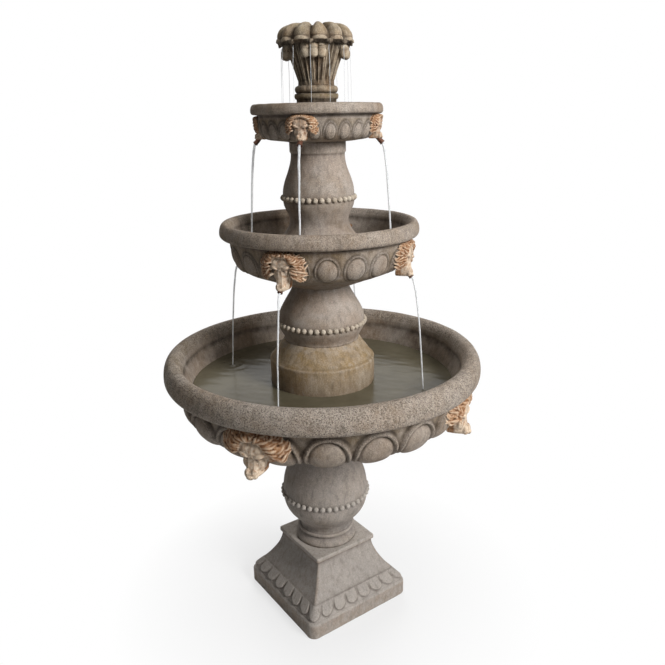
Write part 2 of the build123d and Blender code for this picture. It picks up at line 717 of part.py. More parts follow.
# Finial: fluted vase with four curled leaves, under a lobed cap
def make_vase():
    torus_top = VASE_BASE_H + VASE_TORUS_H
    ring_z = VASE_BASE_H - VASE_RING_H
    bevel = VASE_RING_R - VASE_BASE_R
    neck = (VASE_NECK_R, VASE_NECK_Z)
    top = (VASE_TOP_R, VASE_H)
    rise = VASE_H - VASE_NECK_Z
    solid = lathe(
        Polyline(
            (0, VASE_H),
            (0, 0),
            (VASE_BASE_R, 0),
            (VASE_BASE_R, ring_z - bevel / 2),
            (VASE_RING_R, ring_z),
            (VASE_RING_R, VASE_BASE_H - bevel / 2),
            (VASE_BASE_R, VASE_BASE_H),
            (VASE_NECK_R, VASE_BASE_H),
        ),
        ThreePointArc(
            (VASE_NECK_R, VASE_BASE_H),
            (VASE_TORUS_R, VASE_BASE_H + VASE_TORUS_H / 2),
            (VASE_NECK_R, torus_top),
        ),
        Line((VASE_NECK_R, torus_top), neck),
        Polyline(neck, top, (0, VASE_H)),
    )
    run = VASE_TOP_R - VASE_NECK_R
    slant = Vector(run, 0, rise)
    outward = Vector(rise, 0, -run).normalized()
    foot = Vector(VASE_NECK_R, 0, VASE_NECK_Z) + slant.normalized() * FLUTE_START
    flute = Cylinder(FLUTE_R, slant.length, align=BOTTOM) + Sphere(FLUTE_R)
    flute = Plane(origin=foot + outward * (FLUTE_R - FLUTE_DEPTH), z_dir=slant) * flute
    solid -= around(FLUTES, flute, CAP_TURN)
    roll_z = VASE_H - LEAF_DROP
    roll_r = VASE_NECK_R + run * (roll_z - VASE_NECK_Z) / rise + LEAF_TIP_R / 2
    for i in range(LEAF_TIPS):
        offset = (i - (LEAF_TIPS - 1) / 2) * LEAF_TIP_PITCH
        solid += around(LEAVES, Pos(roll_r, offset, roll_z) * Sphere(LEAF_TIP_R), LEAF_TURN)
    return solid - socket_and_bore(VASE_H)


def make_cap():
    """Dome of rounded lobes with a scalloped drip edge, hollow underneath."""
    ball = Vector(CAP_R - CAP_LOBE_R, 0, CAP_LOBE_Z)
    ridge = Vector(CAP_CROWN_R - CAP_RIDGE_R / 2, 0, CAP_H - CAP_RIDGE_R) - ball
    lobe = Pos(ball) * Sphere(CAP_LOBE_R)
    lobe += Plane(origin=ball, z_dir=ridge) * Cone(CAP_LOBE_R, CAP_RIDGE_R, ridge.length, align=BOTTOM)
    lobe &= Pos(CAP_R, 0, CAP_H / 2 - CAP_SKIRT) * Box(2 * CAP_R, CAP_R, CAP_H)
    dome = lathe(
        Polyline(
            (0, CAP_H),
            (0, -CAP_SKIRT),
            (CAP_SKIRT_IN, -CAP_SKIRT),
            (CAP_SKIRT_IN, CAP_LOBE_Z),
            (CAP_CROWN_R, CAP_H - CAP_RIDGE_R),
            (CAP_CROWN_R, CAP_H),
            close=True,
        )
    )
    under = Pos(0, 0, -CAP_SKIRT) * Cylinder(CAP_SKIRT_IN, 2 * CAP_SKIRT)
    arch_z = -CAP_SKIRT + CAP_ARCH_RISE - CAP_ARCH_R
    arch = Pos(CAP_SKIRT_IN, 0, arch_z) * lying(CAP_ARCH_R, 2 * (CAP_R - CAP_SKIRT_IN))
    body = dome + around(CAP_LOBES, lobe, CAP_TURN) - under - around(CAP_LOBES, arch, CAP_TURN)
    jet_hole = Pos(0, 0, CAP_H - JET_FLANGE_T) * Cylinder(JET_R, 2 * JET_FLANGE_T)
    return body - jet_hole - Cylinder(HOSE_BORE_R, 4 * CAP_H)


def make_jet():
    """Outlet let into the cap, with a stub that the hose's end takes."""
    stub_r = HOSE_R - HOSE_WALL - SLIP
    bore = Cylinder(NOZZLE_BORE_R, 6 * CAP_H)
    body_h = CAP_H - 2 * JET_FLANGE_T
    flange = Pos(0, 0, body_h) * Cylinder(JET_R, JET_FLANGE_T, align=BOTTOM)
    stem = extrude(Circle(HOSE_BORE_R), body_h)
    stub = Pos(0, 0, -JET_STUB_H) * extrude(Circle(stub_r), JET_STUB_H)
    return flange + stem + stub - bore


# Submersible pump, drawn with its base at height 0 and its outlet on the Z axis
def make_pump_body():
    length = PUMP_BACK + PUMP_FRONT
    block = Pos(PUMP_FRONT - length / 2, 0, PUMP_H / 2) * Box(length, PUMP_W, PUMP_H)
    block = fillet(block.edges().filter_by(Axis.X), PUMP_ROUND)
    axle = Pos(PUMP_FRONT, 0, PUMP_AXIS_H)
    chamber = axle * lying(CHAMBER_R, -CHAMBER_L)
    well = axle * lying(WELL_R, -CHAMBER_L - WELL_L)
    socket = axle * lying(SHAFT_R, -CHAMBER_L - WELL_L - SHAFT_SOCKET)
    outlet = Pos(0, 0, PUMP_AXIS_H) * extrude(Circle(NOZZLE_BORE_R), PUMP_H)
    gland_seat = Pos(-PUMP_BACK, 0, PUMP_AXIS_H) * lying(GLAND_R, GLAND_L / 2)
    return block - chamber - well - socket - outlet - gland_seat


def make_pump_feet():
    """Four suction cups under the pump."""
    cup = lathe(
        Polyline((0, 0), (PUMP_FOOT_R, 0)),
        Bezier((PUMP_FOOT_R, 0), (PUMP_FOOT_R / 2, PUMP_FOOT_H / 3), (PUMP_FOOT_R / 2, PUMP_FOOT_H)),
        Polyline((PUMP_FOOT_R / 2, PUMP_FOOT_H), (0, PUMP_FOOT_H), (0, 0)),
    )
    out = PUMP_W / 2 - PUMP_FOOT_R
    places = [
        (x, y) for x in (-PUMP_BACK + PUMP_FOOT_INSET, PUMP_FRONT - PUMP_FOOT_INSET) for y in (-out, out)
    ]
    return Compound([Pos(x, y, -PUMP_FOOT_H) * cup for x, y in places])


def make_shaft():
    length = CHAMBER_L + WELL_L + SHAFT_SOCKET + COVER_L / 2
    start = PUMP_FRONT - CHAMBER_L - WELL_L - SHAFT_SOCKET
    return Pos(start, 0, PUMP_AXIS_H) * lying(SHAFT_R, length)


def rotor_bore():
    return Pos(-PUMP_BACK, 0, PUMP_AXIS_H) * lying(SHAFT_R + SHAFT_RUNNING, 2 * PUMP_BACK)


def make_rotor():
    back = PUMP_FRONT - CHAMBER_L - WELL_L + ROTOR_MARGIN
    magnet = Pos(back, 0, PUMP_AXIS_H) * lying(ROTOR_R, WELL_L - ROTOR_MARGIN)
    return magnet - rotor_bore()


def make_impeller():
    back = PUMP_FRONT - CHAMBER_L
    hub_l = (CHAMBER_L + IMPELLER_L) / 2
    hub = Pos(back, 0, PUMP_AXIS_H) * lying(IMPELLER_HUB_R, hub_l)
    vane = Pos(back + hub_l - IMPELLER_L / 2, 0, PUMP_AXIS_H + IMPELLER_R / 2) * Box(
        IMPELLER_L, VANE_T, IMPELLER_R
    )
    axis = Axis((0, 0, PUMP_AXIS_H), (1, 0, 0))
    vanes = [vane.rotate(axis, 360 / IMPELLER_VANES * i) for i in range(IMPELLER_VANES)]
    return hub + vanes - rotor_bore()


def make_outlet():
    flange = extrude(Circle(NOZZLE_FLANGE_R), NOZZLE_FLANGE_T)
    stem = extrude(Circle(NOZZLE_R), NOZZLE_H)
    barb = Pos(0, 0, NOZZLE_H) * Cone(NOZZLE_R, NOZZLE_R - NOZZLE_FLANGE_T / 4, NOZZLE_FLANGE_T)
    return Pos(0, 0, PUMP_H) * (flange + stem + barb - Cylinder(NOZZLE_BORE_R, 3 * NOZZLE_H))


def make_clamp():
    ring = tube(HOSE_R + CLAMP_T, HOSE_R, CLAMP_H)
    ear = Pos(HOSE_R + CLAMP_T, 0, CLAMP_H / 2) * Box(CLAMP_EAR, CLAMP_EAR, CLAMP_H)
    cut = Cylinder(HOSE_R, 4 * CLAMP_H)
    return Pos(0, 0, PUMP_H + NOZZLE_FLANGE_T + CLAMP_Z) * (ring + ear - cut)


def make_intake_cover():
    """Grille box over the pump's chamber, with a plug that centres it."""
    front = PUMP_FRONT + SLIP
    centre = Pos(front + COVER_L / 2, 0, PUMP_AXIS_H)
    box = centre * Box(COVER_L, PUMP_W, COVER_H)
    box = fillet(box.edges().filter_by(Axis.X), PUMP_ROUND)
    inside = Pos(front + COVER_L / 2 - COVER_WALL, 0, PUMP_AXIS_H) * Box(
        COVER_L, PUMP_W - 2 * COVER_WALL, COVER_H - 2 * COVER_WALL
    )
    plug_r = CHAMBER_R - SLIP
    plug = Plane.YZ * (Circle(plug_r) - Circle(plug_r - COVER_WALL))
    plug = Pos(front - COVER_PLUG_H, 0, PUMP_AXIS_H) * extrude(plug, COVER_L + COVER_PLUG_H - COVER_WALL)
    pad = Pos(front + COVER_L - COVER_WALL, 0, PUMP_AXIS_H) * lying(DIAL_PAD_R, COVER_WALL)
    pitch = (PUMP_W - 4 * COVER_WALL) / COVER_BARS
    slots = []
    for i in range(COVER_BARS):
        place = centre * Pos(COVER_L / 2, pitch * (i - (COVER_BARS - 1) / 2), 0)
        slots.append(place * Box(4 * COVER_WALL, pitch - COVER_BAR_W, COVER_H - 6 * COVER_WALL))
    stem_hole = Pos(front, 0, PUMP_AXIS_H) * lying(DIAL_STEM_R + SLIP, 2 * COVER_L)
    return box - inside + plug - slots + pad - stem_hole


def make_dial():
    """Flow dial on the cover's face, its stem through the cover."""
    face = PUMP_FRONT + SLIP + COVER_L + SLIP
    knob = Pos(face, 0, PUMP_AXIS_H) * lying(DIAL_R, DIAL_T)
    rib = Pos(face + DIAL_T, 0, PUMP_AXIS_H) * Box(DIAL_RIB, DIAL_RIB, 2 * DIAL_R - DIAL_T)
    stem_l = COVER_WALL + 2 * SLIP
    stem = Pos(face - stem_l, 0, PUMP_AXIS_H) * lying(DIAL_STEM_R, stem_l)
    return knob + rib + stem


def make_gland():
    seat = Pos(-PUMP_BACK + GLAND_L / 2, 0, PUMP_AXIS_H)
    body = seat * lying(GLAND_R, -GLAND_L * 1.5)
    return body - seat * lying(GLAND_BORE_R, -GLAND_L * 2)


# Rubber pieces and the hose
def make_stopper():
    """Stopper in the basin floor, bored for the pump's cord."""
    plug = Pos(0, 0, -BASIN_WELL_Z) * extrude(Circle(CORD_HOLE_R), BASIN_WELL_Z)
    flange = extrude(Circle(STOPPER_FLANGE_R), STOPPER_FLANGE_T)
    solid = plug + flange - Cylinder(STOPPER_BORE_R, 4 * BASIN_WELL_Z)
    return Pos(CORD_HOLE_X, CORD_HOLE_Y, 0) * solid


def make_grommet(well_z):
    """Seal for the hose in a bowl's floor, as tall as the floor and its spigot."""
    body = extrude(Circle(GROMMET_R), well_z + SPIGOT_H - SOCKET_H)
    bore = Cylinder(HOSE_R + GROMMET_CLEARANCE, 6 * well_z)
    return Pos(0, 0, SOCKET_H) * (body - bore)


def make_hose(start, end):
    return Pos(0, 0, start) * tube(HOSE_R, HOSE_R - HOSE_WALL, end - start)


# Assembly
def build():
    nodes = {}

    def put(name, shape, height):
        nodes[name] = Pos(0, 0, height) * shape

    put("plinth", make_plinth(), 0)
    put("lower_baluster", make_lower_baluster(), Z_BALUSTER)
    put("lower_basin", make_lower_basin(), Z_BASIN)
    put("pump_cover_drum", make_drum(), Z_DRUM)
    put("middle_baluster", make_middle_baluster(), Z_MIDDLE_BALUSTER)
    put("upper_baluster", make_upper_baluster(), Z_UPPER_BALUSTER)
    put("finial_vase", make_vase(), Z_VASE)
    put("finial_cap", make_cap(), Z_CAP)
    put("riser_jet", make_jet(), Z_CAP)

    mask = lion_mask(LOWER, LOWER_MASK_W, LOWER_MASK_H, LOWER_NOSE_OUT, LOWER_NOSE_DROP)
    for i, piece in enumerate(around(MASKS, mask, LOWER_MASK_TURN)):
        put(f"lower_lion_mask_{i + 1}", piece, Z_BASIN)

    tiers = (
        ("middle", MIDDLE, make_middle_bowl, Z_MIDDLE_BOWL, MIDDLE_WELL_Z, MIDDLE_MASK_TURN,
         (MIDDLE_MASK_W, MIDDLE_MASK_H, MIDDLE_NOSE_OUT, MIDDLE_NOSE_DROP), MIDDLE_SPOUT_L),
        ("top", TOP, make_top_bowl, Z_TOP_BOWL, TOP_WELL_Z, TOP_MASK_TURN,
         (TOP_MASK_W, TOP_MASK_H, TOP_NOSE_OUT, TOP_NOSE_DROP), TOP_SPOUT_L),
    )
    for tier, bowl, make_bowl, level, well_z, turn, sizes, spout_l in tiers:
        line = spout_line(bowl, sizes[1], sizes[2], sizes[3], spout_l)
        pipe = line * (Rot(0, 90, 0) * tube(SPOUT_R, SPOUT_BORE_R, spout_l))
        cutter = line * lying(SPOUT_R + TUBE_FIT, spout_l * 1.2)
        mask = lion_mask(bowl, *sizes) - cutter
        put(f"{tier}_bowl", make_bowl(around(MASKS, cutter, turn)), level)
        for i in range(MASKS):
            place = Rot(0, 0, turn + 360 / MASKS * i)
            put(f"{tier}_lion_mask_{i + 1}", place * mask, level)
            put(f"{tier}_spout_{i + 1}", place * pipe, level)
        put(f"{tier}_bowl_grommet", make_grommet(well_z), level)

    put("pump_body", make_pump_body(), Z_PUMP)
    put("pump_feet", make_pump_feet(), Z_PUMP)
    put("rotor_shaft", make_shaft(), Z_PUMP)
    put("rotor_magnet", make_rotor(), Z_PUMP)
    put("pump_impeller", make_impeller(), Z_PUMP)
    put("pump_outlet", make_outlet(), Z_PUMP)
    put("hose_clamp", make_clamp(), Z_PUMP)
    put("pump_intake_cover", make_intake_cover(), Z_PUMP)
    put("flow_dial", make_dial(), Z_PUMP)
    put("cord_gland", make_gland(), Z_PUMP)
    put("cord_stopper", make_stopper(), Z_FLOOR)
    hose_start = Z_PUMP + PUMP_H + NOZZLE_FLANGE_T
    nodes["riser_hose"] = make_hose(hose_start, Z_CAP - BED_GAP)
    return nodes


os.makedirs("parts", exist_ok=True)
for node_name, node_shape in build().items():
    export_step(node_shape, f"parts/{node_name}.step")
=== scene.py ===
import bpy
import json
import numpy as np
from collections import namedtuple
from math import cos, hypot, pi, radians, sin, tan
from mathutils import Matrix, Vector


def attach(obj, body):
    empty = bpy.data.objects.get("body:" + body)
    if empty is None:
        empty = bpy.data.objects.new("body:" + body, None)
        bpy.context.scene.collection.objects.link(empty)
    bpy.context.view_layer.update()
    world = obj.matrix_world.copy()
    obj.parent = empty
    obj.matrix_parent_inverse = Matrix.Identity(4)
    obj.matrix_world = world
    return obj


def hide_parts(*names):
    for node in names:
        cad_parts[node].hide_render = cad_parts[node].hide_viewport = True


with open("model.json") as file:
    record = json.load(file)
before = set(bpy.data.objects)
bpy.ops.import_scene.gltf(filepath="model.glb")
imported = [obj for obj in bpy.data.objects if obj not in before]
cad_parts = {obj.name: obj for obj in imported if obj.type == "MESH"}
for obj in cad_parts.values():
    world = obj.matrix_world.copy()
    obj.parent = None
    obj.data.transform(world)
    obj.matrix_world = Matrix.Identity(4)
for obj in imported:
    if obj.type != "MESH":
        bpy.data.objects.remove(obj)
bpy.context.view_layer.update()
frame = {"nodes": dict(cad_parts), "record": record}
MM = 0.001

# Levels of the castings' seats, as the solids stand, in millimetres
Z_BALUSTER, Z_BASIN, Z_DRUM = 228.0, 640.0, 684.3
Z_MIDDLE_BALUSTER, Z_MIDDLE_BOWL = 948.6, 1121.9
Z_UPPER_BALUSTER, Z_TOP_BOWL = 1166.2, 1545.5
Z_VASE, Z_CAP = 1563.8, 1805.8

# Ways for the hose, and the spigots that centre one casting in the socket of the next
BORE_R, GROMMET_R = 14.5, 19.0
SPIGOT_R, SPIGOT_H = 44.0, 8.0
SOCKET_R, SOCKET_H = 45.0, 9.0

# Levels of the pools, and in degrees where each bowl's lions and the finial's lobes start
Z_LOWER_POOL, Z_MIDDLE_POOL, Z_TOP_POOL = 810.0, 1215.0, 1602.0
LOWER_TURN, MIDDLE_TURN, TOP_TURN = 31.1, 33.1, 41.1
FINIAL_LOBES, FINIAL_TURN = 12, 2.6

# Rows and columns of the small balls and of the lions' lobes
BALL_GRID, LOBE_GRID = (9, 14), (13, 18)

Rim = namedtuple("Rim", "r z half_w up down")
Eggs = namedtuple("Eggs", "count turn half_w half_h dome inner outer top middle")
# Where a bowl's painted pool of light lies on its inside wall: its bearing, height and width
LitPatch = namedtuple("LitPatch", "bearing z width")
Beads = namedtuple("Beads", "count ring_r bead_r height band")
Lion = namedtuple("Lion", "width crown half_face eye foot spread")
Strands = namedtuple("Strands", "start end count peak thick")


# Small helpers
def clip01(x):
    return np.clip(x, 0, 1)


def hump(x, middle, width):
    """Smooth bump, 1 at its middle."""
    return np.exp(-((x - middle) / width) ** 2)


def bearings(cols):
    return np.linspace(0, 2 * pi, cols, endpoint=False)


def four(turn):
    return [turn + 90 * k for k in range(4)]


def near(angle, first, count):
    """Signed angle, in radians, to the nearest of count bearings that start at first degrees."""
    pitch = 2 * pi / count
    return (angle - radians(first) + pitch / 2) % pitch - pitch / 2


def wobble(seed, *coords):
    """Slow, repeatable unevenness between about -1 and 1."""
    rng = np.random.default_rng(seed)
    total = 0
    for k in range(5):
        phase = rng.uniform(0, 2 * pi, len(coords) + 1)
        freq = rng.uniform(0.6, 1.8, len(coords)) * (1 + k * 0.7)
        wave = sum(f * c + p for f, c, p in zip(freq, coords, phase)) + phase[-1]
        total = total + np.sin(wave) / (1 + k * 0.5)
    return total / 2.6


def patchy(seed, points, size):
    """The same unevenness in space, in patches of about that size."""
    return wobble(seed, *(points[..., k] / size for k in range(3)))


# Outlines in (radius, height)
def line(a, b, step=6.0):
    n = max(2, int(hypot(b[0] - a[0], b[1] - a[1]) / step) + 1)
    t = np.linspace(0, 1, n)[:, None]
    return np.array(a) * (1 - t) + np.array(b) * t


def curve(points, n):
    """Bezier curve from its first point to its last."""
    p = np.repeat(np.array(points, float)[:, None, :], n, 1)
    t = np.linspace(0, 1, n)[:, None]
    while len(p) > 1:
        p = p[:-1] * (1 - t) + p[1:] * t
    return p[0]


def rounded(a, corner, b, radius, step):
    """Two straight runs joined by a tangent arc."""
    a, corner, b = (np.array(p, float) for p in (a, corner, b))
    u = (a - corner) / np.linalg.norm(a - corner)
    v = (b - corner) / np.linalg.norm(b - corner)
    half = np.arccos(np.clip(u @ v, -1, 1)) / 2
    reach = radius / tan(half)
    start, end = corner + u * reach, corner + v * reach
    mid = corner + (u + v) / np.linalg.norm(u + v) * radius / sin(half)
    a0 = np.arctan2(*(start - mid)[::-1])
    turn = (np.arctan2(*(end - mid)[::-1]) - a0 + pi) % (2 * pi) - pi
    n = max(4, int(abs(turn) * radius / step) + 2)
    ang = a0 + turn * np.linspace(0, 1, n)
    arc = mid + radius * np.stack([np.cos(ang), np.sin(ang)], 1)
    return chain(line(a, start, step), arc, line(end, b, step))


def oval(cx, cz, w, h, a0, a1, n, square=2.0):
    """Arc of an ellipse, or of a squarer oval where square is over 2."""
    ang = np.radians(np.linspace(a0, a1, n))
    c, s = (np.sign(v) * np.abs(v) ** (2 / square) for v in (np.cos(ang), np.sin(ang)))
    return np.stack([cx + w * c, cz + h * s], 1)


def chain(*runs):
    """Joins runs of points, leaving out a point that repeats the one before it."""
    points = np.concatenate([np.atleast_2d(np.array(run, float)) for run in runs])
    keep = np.r_[True, np.linalg.norm(np.diff(points, axis=0), axis=1) > 1e-6]
    return points[keep]


def lengths(outline):
    """How far along the outline each of its points lies."""
    return np.r_[0, np.cumsum(np.linalg.norm(np.diff(outline, axis=0), axis=1))]


# Meshes
def grid_quads(rows, cols):
    """Quads of a grid of points whose last column joins its first."""
    r, c = np.meshgrid(np.arange(rows - 1), np.arange(cols), indexing="ij")
    n = (c + 1) % cols
    corners = [r * cols + c, r * cols + n, (r + 1) * cols + n, (r + 1) * cols + c]
    return np.stack(corners, -1).reshape(-1, 4)


class Part:
    """Gathers grids of points, and the three shares that the shader reads: pale, dark, stain."""

    def __init__(self):
        self.points, self.quads, self.zones, self.count = [], [], [], 0

    def grid(self, points, pale=0.0, dark=0.0, stain=0.0):
        rows, cols = points.shape[:2]
        shares = [np.broadcast_to(share, (rows, cols)) for share in (pale, dark, stain)]
        self.points.append(points.reshape(-1, 3))
        self.quads.append(grid_quads(rows, cols) + self.count)
        self.zones.append(np.stack(shares, -1).reshape(-1, 3))
        self.count += rows * cols
        return self


def new_object(name, data):
    obj = bpy.data.objects.new(name, data)
    bpy.context.scene.collection.objects.link(obj)
    return obj


def make_object(name, part, material, sharp_angle):
    points = np.concatenate(part.points) * MM
    quads = np.concatenate(part.quads)
    me = bpy.data.meshes.new(name)
    me.vertices.add(len(points))
    me.vertices.foreach_set("co", points.astype(np.float32).ravel())
    me.loops.add(quads.size)
    me.loops.foreach_set("vertex_index", quads.astype(np.int32).ravel())
    me.polygons.add(len(quads))
    me.polygons.foreach_set("loop_start", np.arange(0, quads.size, 4, dtype=np.int32))
    me.polygons.foreach_set("use_smooth", np.ones(len(quads), bool))
    me.update(calc_edges=True)
    me.validate()
    if sharp_angle:
        me.set_sharp_from_angle(angle=radians(sharp_angle))
    age_and_shade(me, np.concatenate(part.zones))
    me.materials.append(material)
    return new_object(name, me)


def vectors(me, what):
    flat = np.zeros(len(me.vertices) * 3, np.float32)
    me.vertices.foreach_get(what, flat)
    return flat.reshape(-1, 3).astype(float)


def softened(me, rounds):
    """Where each vertex goes when it is drawn to the mean of its neighbours a number of times."""
    n = len(me.vertices)
    ends = np.zeros(len(me.edges) * 2, np.int32)
    me.edges.foreach_get("vertices", ends)
    a, b = ends.reshape(-1, 2).T
    degree = np.bincount(ends, minlength=n).clip(1)
    soft = vectors(me, "co")
    for _ in range(rounds):
        sums = [np.bincount(a, v[b], n) + np.bincount(b, v[a], n) for v in soft.T]
        soft = np.stack(sums, 1) / degree[:, None]
    return soft


def hollows(me, rounds):
    """How far each vertex lies below the mean of its neighbours, along its normal, in metres."""
    return ((softened(me, rounds) - vectors(me, "co")) * vectors(me, "normal")).sum(1)


def age_and_shade(me, zones, rounds=10, reach=0.0016, grime_and_shade=0.9, wear=0.45):
    """Adds dirt and painted shade in the hollows and wear on the edges to the shares, and stores
    them.
    """
    depth = hollows(me, rounds) / reach
    # Darker in the hollows: dirt and painted shade
    zones[:, 1] += clip01(depth) * grime_and_shade
    zones[:, 0] += clip01(-depth) * wear
    store(me, zones)


def store(me, zones):
    layer = me.color_attributes.new("zone", "FLOAT_COLOR", "POINT")
    rgba = np.ones((len(zones), 4), np.float32)
    rgba[:, :3] = clip01(zones)
    layer.data.foreach_set("color", rgba.ravel())


def lathe(outline, cols, lift):
    """Turns an outline about Z. lift(bearing, along) moves points along the outline's normal."""
    az = bearings(cols)
    step = np.gradient(outline, axis=0)
    step /= np.linalg.norm(step, axis=1)[:, None].clip(1e-9)
    out = np.stack([step[:, 1], -step[:, 0]], 1)
    d = lift(az[None, :], lengths(outline)[:, None])
    r = outline[:, :1] + out[:, :1] * d
    z = outline[:, 1:] + out[:, 1:] * d
    return np.stack([r * np.cos(az), r * np.sin(az), z + 0 * r], -1)


def raised(points, level):
    return points + (0, 0, level)


def swung(out, side, z, ang):
    """Points given outward, sideways and up, swung about Z to a bearing in radians."""
    return np.stack([out * cos(ang) - side * sin(ang), out * sin(ang) + side * cos(ang), z], -1)


def ball(radius, rows, cols):
    lat = np.linspace(-pi / 2, pi / 2, rows)[:, None]
    lon = bearings(cols)[None, :]
    wide = np.cos(lat)
    return radius * np.stack([wide * np.cos(lon), wide * np.sin(lon), np.sin(lat) + 0 * lon], -1)


def lobe(centre, radii, tilt=0.0):
    c, s = cos(tilt), sin(tilt)
    turn = np.array([[c, -s, 0], [s, c, 0], [0, 0, 1]])
    return ball(1.0, *LOBE_GRID) * radii @ turn.T + centre


def lock(path, radii, cols=10):
    """A tapering tube along a bent path."""
    t = np.gradient(path, axis=0)
    t /= np.linalg.norm(t, axis=1)[:, None]
    a = np.cross(t, (0.13, 0.21, 0.97))
    a /= np.linalg.norm(a, axis=1)[:, None]
    b = np.cross(t, a)
    q = bearings(cols)
    ring = np.cos(q)[None, :, None] * a[:, None] + np.sin(q)[None, :, None] * b[:, None]
    return path[:, None] + ring * radii[:, None, None]


def finish_piece(obj, body, slot, *nodes):
    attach(obj, body)
    if nodes:
        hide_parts(*nodes)


def piece(name, part, material, body, slot, *nodes, sharp_angle=None):
    finish_piece(make_object(name, part, material, sharp_angle), body, slot, *nodes)


# Shaders
class Nodes:
    """Writes a node tree."""

    def __init__(self, tree):
        self.tree = tree

    def node(self, kind, settings=None, **inputs):
        """Inputs go by their names, with _ for a space, or by number as i0, i1 and so on."""
        n = self.tree.nodes.new(kind)
        for key, value in (settings or {}).items():
            setattr(n, key, value)
        for key, value in inputs.items():
            numbered = key[0] == "i" and key[1:].isdigit()
            self.feed(n.inputs[int(key[1:]) if numbered else key.replace("_", " ")], value)
        return n

    def feed(self, socket, value):
        if isinstance(value, bpy.types.NodeSocket):
            self.tree.links.new(value, socket)
        else:
            socket.default_value = value

    def place(self):
        return self.node("ShaderNodeTexCoord").outputs["Object"]

    def noise(self, scale, detail, rough, drawn=1.0, **more):
        """Noise in the object's own space. drawn is how far it is drawn out along Z."""
        coords = self.place()
        if drawn != 1.0:
            coords = self.node("ShaderNodeVectorMath", {"operation": "MULTIPLY"},
                               i0=coords, i1=(1, 1, 1 / drawn)).outputs[0]
        return self.node("ShaderNodeTexNoise", None, Vector=coords, Scale=scale, Detail=detail,
                         Roughness=rough, **more).outputs["Fac"]

    def ramp(self, value, low, high, first=0.0):
        return self.node("ShaderNodeMapRange", {"clamp": True}, Value=value, From_Min=low,
                         From_Max=high, To_Min=first).outputs[0]

    def math(self, operation, a, b):
        return self.node("ShaderNodeMath", {"operation": operation}, i0=a, i1=b).outputs[0]

    def times(self, a, b):
        return self.math("MULTIPLY", a, b)

    def plus(self, a, b):
        return self.math("ADD", a, b)

    def mix(self, share, a, b):
        n = self.node("ShaderNodeMix", {"data_type": "RGBA"})
        self.feed(n.inputs["Factor"], share)
        self.feed(n.inputs["A"], a)
        self.feed(n.inputs["B"], b)
        return n.outputs["Result"]

    def bump(self, height, strength, distance):
        return self.node("ShaderNodeBump", None, Height=height, Strength=strength,
                         Distance=distance).outputs["Normal"]


class Shader(Nodes):
    """A material with one Principled BSDF, whose inputs are set by name."""

    def __init__(self, name):
        self.mat = bpy.data.materials.new(name)
        self.mat.use_nodes = True
        super().__init__(self.mat.node_tree)
        self.bsdf = self.tree.nodes["Principled BSDF"]

    def set(self, **inputs):
        for key, value in inputs.items():
            self.feed(self.bsdf.inputs[key.replace("_", " ")], value)


def rgb(r, g, b):
    """Linear colour of an sRGB one given in 0 to 255."""
    return tuple(((c / 255 + 0.055) / 1.055) ** 2.4 for c in (r, g, b)) + (1.0,)


def stone(name, base, second, pale, dark, stain, patch=7.0, grain=0.45, pits=0.0):
    """Weathered cast stone: two tones in patches, vertical runs, fine grain and pits.

    The mesh's shares say where it is pale from wear and painted highlight, dark from dirt and
    painted shade, or stained.
    """
    base, second, pale, dark, stain = (rgb(*c) for c in (base, second, pale, dark, stain))
    s = Shader(name)
    zone = s.node("ShaderNodeVertexColor", {"layer_name": "zone"}).outputs["Color"]
    wear_and_highlight, grime_and_shade, patina = s.node("ShaderNodeSeparateColor", None, Color=zone).outputs[:3]
    colour = s.mix(s.ramp(s.noise(patch, 5, 0.6), 0.38, 0.66), base, second)
    cloud = s.noise(patch * 4, 4, 0.6)
    colour = s.mix(s.times(patina, s.ramp(cloud, 0.3, 0.62)), colour, stain)
    # Pale share: wear, and painted highlight and painted light where the mesh marks them
    colour = s.mix(s.times(wear_and_highlight, s.ramp(s.noise(60, 3, 0.6), 0.2, 0.7)), colour, pale)
    run = s.noise(75, 6, 0.68, drawn=3.0)
    colour = s.mix(s.times(s.ramp(run, 0.52, 0.72), 0.4), colour, pale)
    colour = s.mix(s.times(s.ramp(run, 0.5, 0.3), 0.42), colour, dark)
    speck = s.noise(420, 2, 0.6)
    coarse = s.math("SUBTRACT", 1.0, s.ramp(speck, 0.34, 0.66))
    colour = s.mix(s.times(coarse, grain), colour, dark)
    colour = s.mix(s.times(s.ramp(speck, 0.58, 0.74), grain * 0.6), colour, pale)
    # Dark share: dirt, and painted shade where the mesh marks it
    colour = s.mix(s.times(grime_and_shade, s.ramp(cloud, 0.0, 0.7)), colour, dark)
    height = s.plus(s.times(speck, 0.5), s.times(s.noise(90, 4, 0.6), 0.7))
    if pits:
        hole = s.ramp(s.noise(300, 2, 0.5, Distortion=0.6), 0.51, 0.4)
        hole = s.times(hole, s.ramp(wear_and_highlight, 0.15, 0.6))
        colour = s.mix(s.times(hole, pits), colour, dark)
        height = s.math("SUBTRACT", height, s.times(hole, 0.8))
    rough = s.plus(s.times(s.ramp(speck, 0.2, 0.9), 0.2), 0.72)
    s.set(Base_Color=colour, Normal=s.bump(height, 0.55, 0.0022), Roughness=rough,
          Specular_IOR_Level=0.22)
    return s.mat


def plain(name, colour, second, rough, metallic=0.0, scale=120.0):
    """Plastic, rubber or metal with slight mottling and a fine moulded or drawn surface."""
    s = Shader(name)
    mottle = s.noise(scale, 4, 0.6)
    s.set(Base_Color=s.mix(s.ramp(mottle, 0.3, 0.7), rgb(*colour), rgb(*second)),
          Roughness=s.plus(s.times(mottle, 0.25), rough - 0.12), Metallic=metallic,
          Normal=s.bump(s.noise(scale * 6, 2, 0.5), 0.15, 0.0004))
    return s.mat


WATER_IOR = 1.33


def pool_shader(name, shallow, deep):
    """Murky pool: the colour clouds slowly, and small ripples break the reflections."""
    s = Shader(name)
    s.set(Base_Color=s.mix(s.ramp(s.noise(5, 4, 0.6), 0.3, 0.7), rgb(*shallow), rgb(*deep)),
          Roughness=0.2, IOR=WATER_IOR, Normal=s.bump(s.noise(20, 3, 0.5), 0.1, 0.006))
    return s.mat


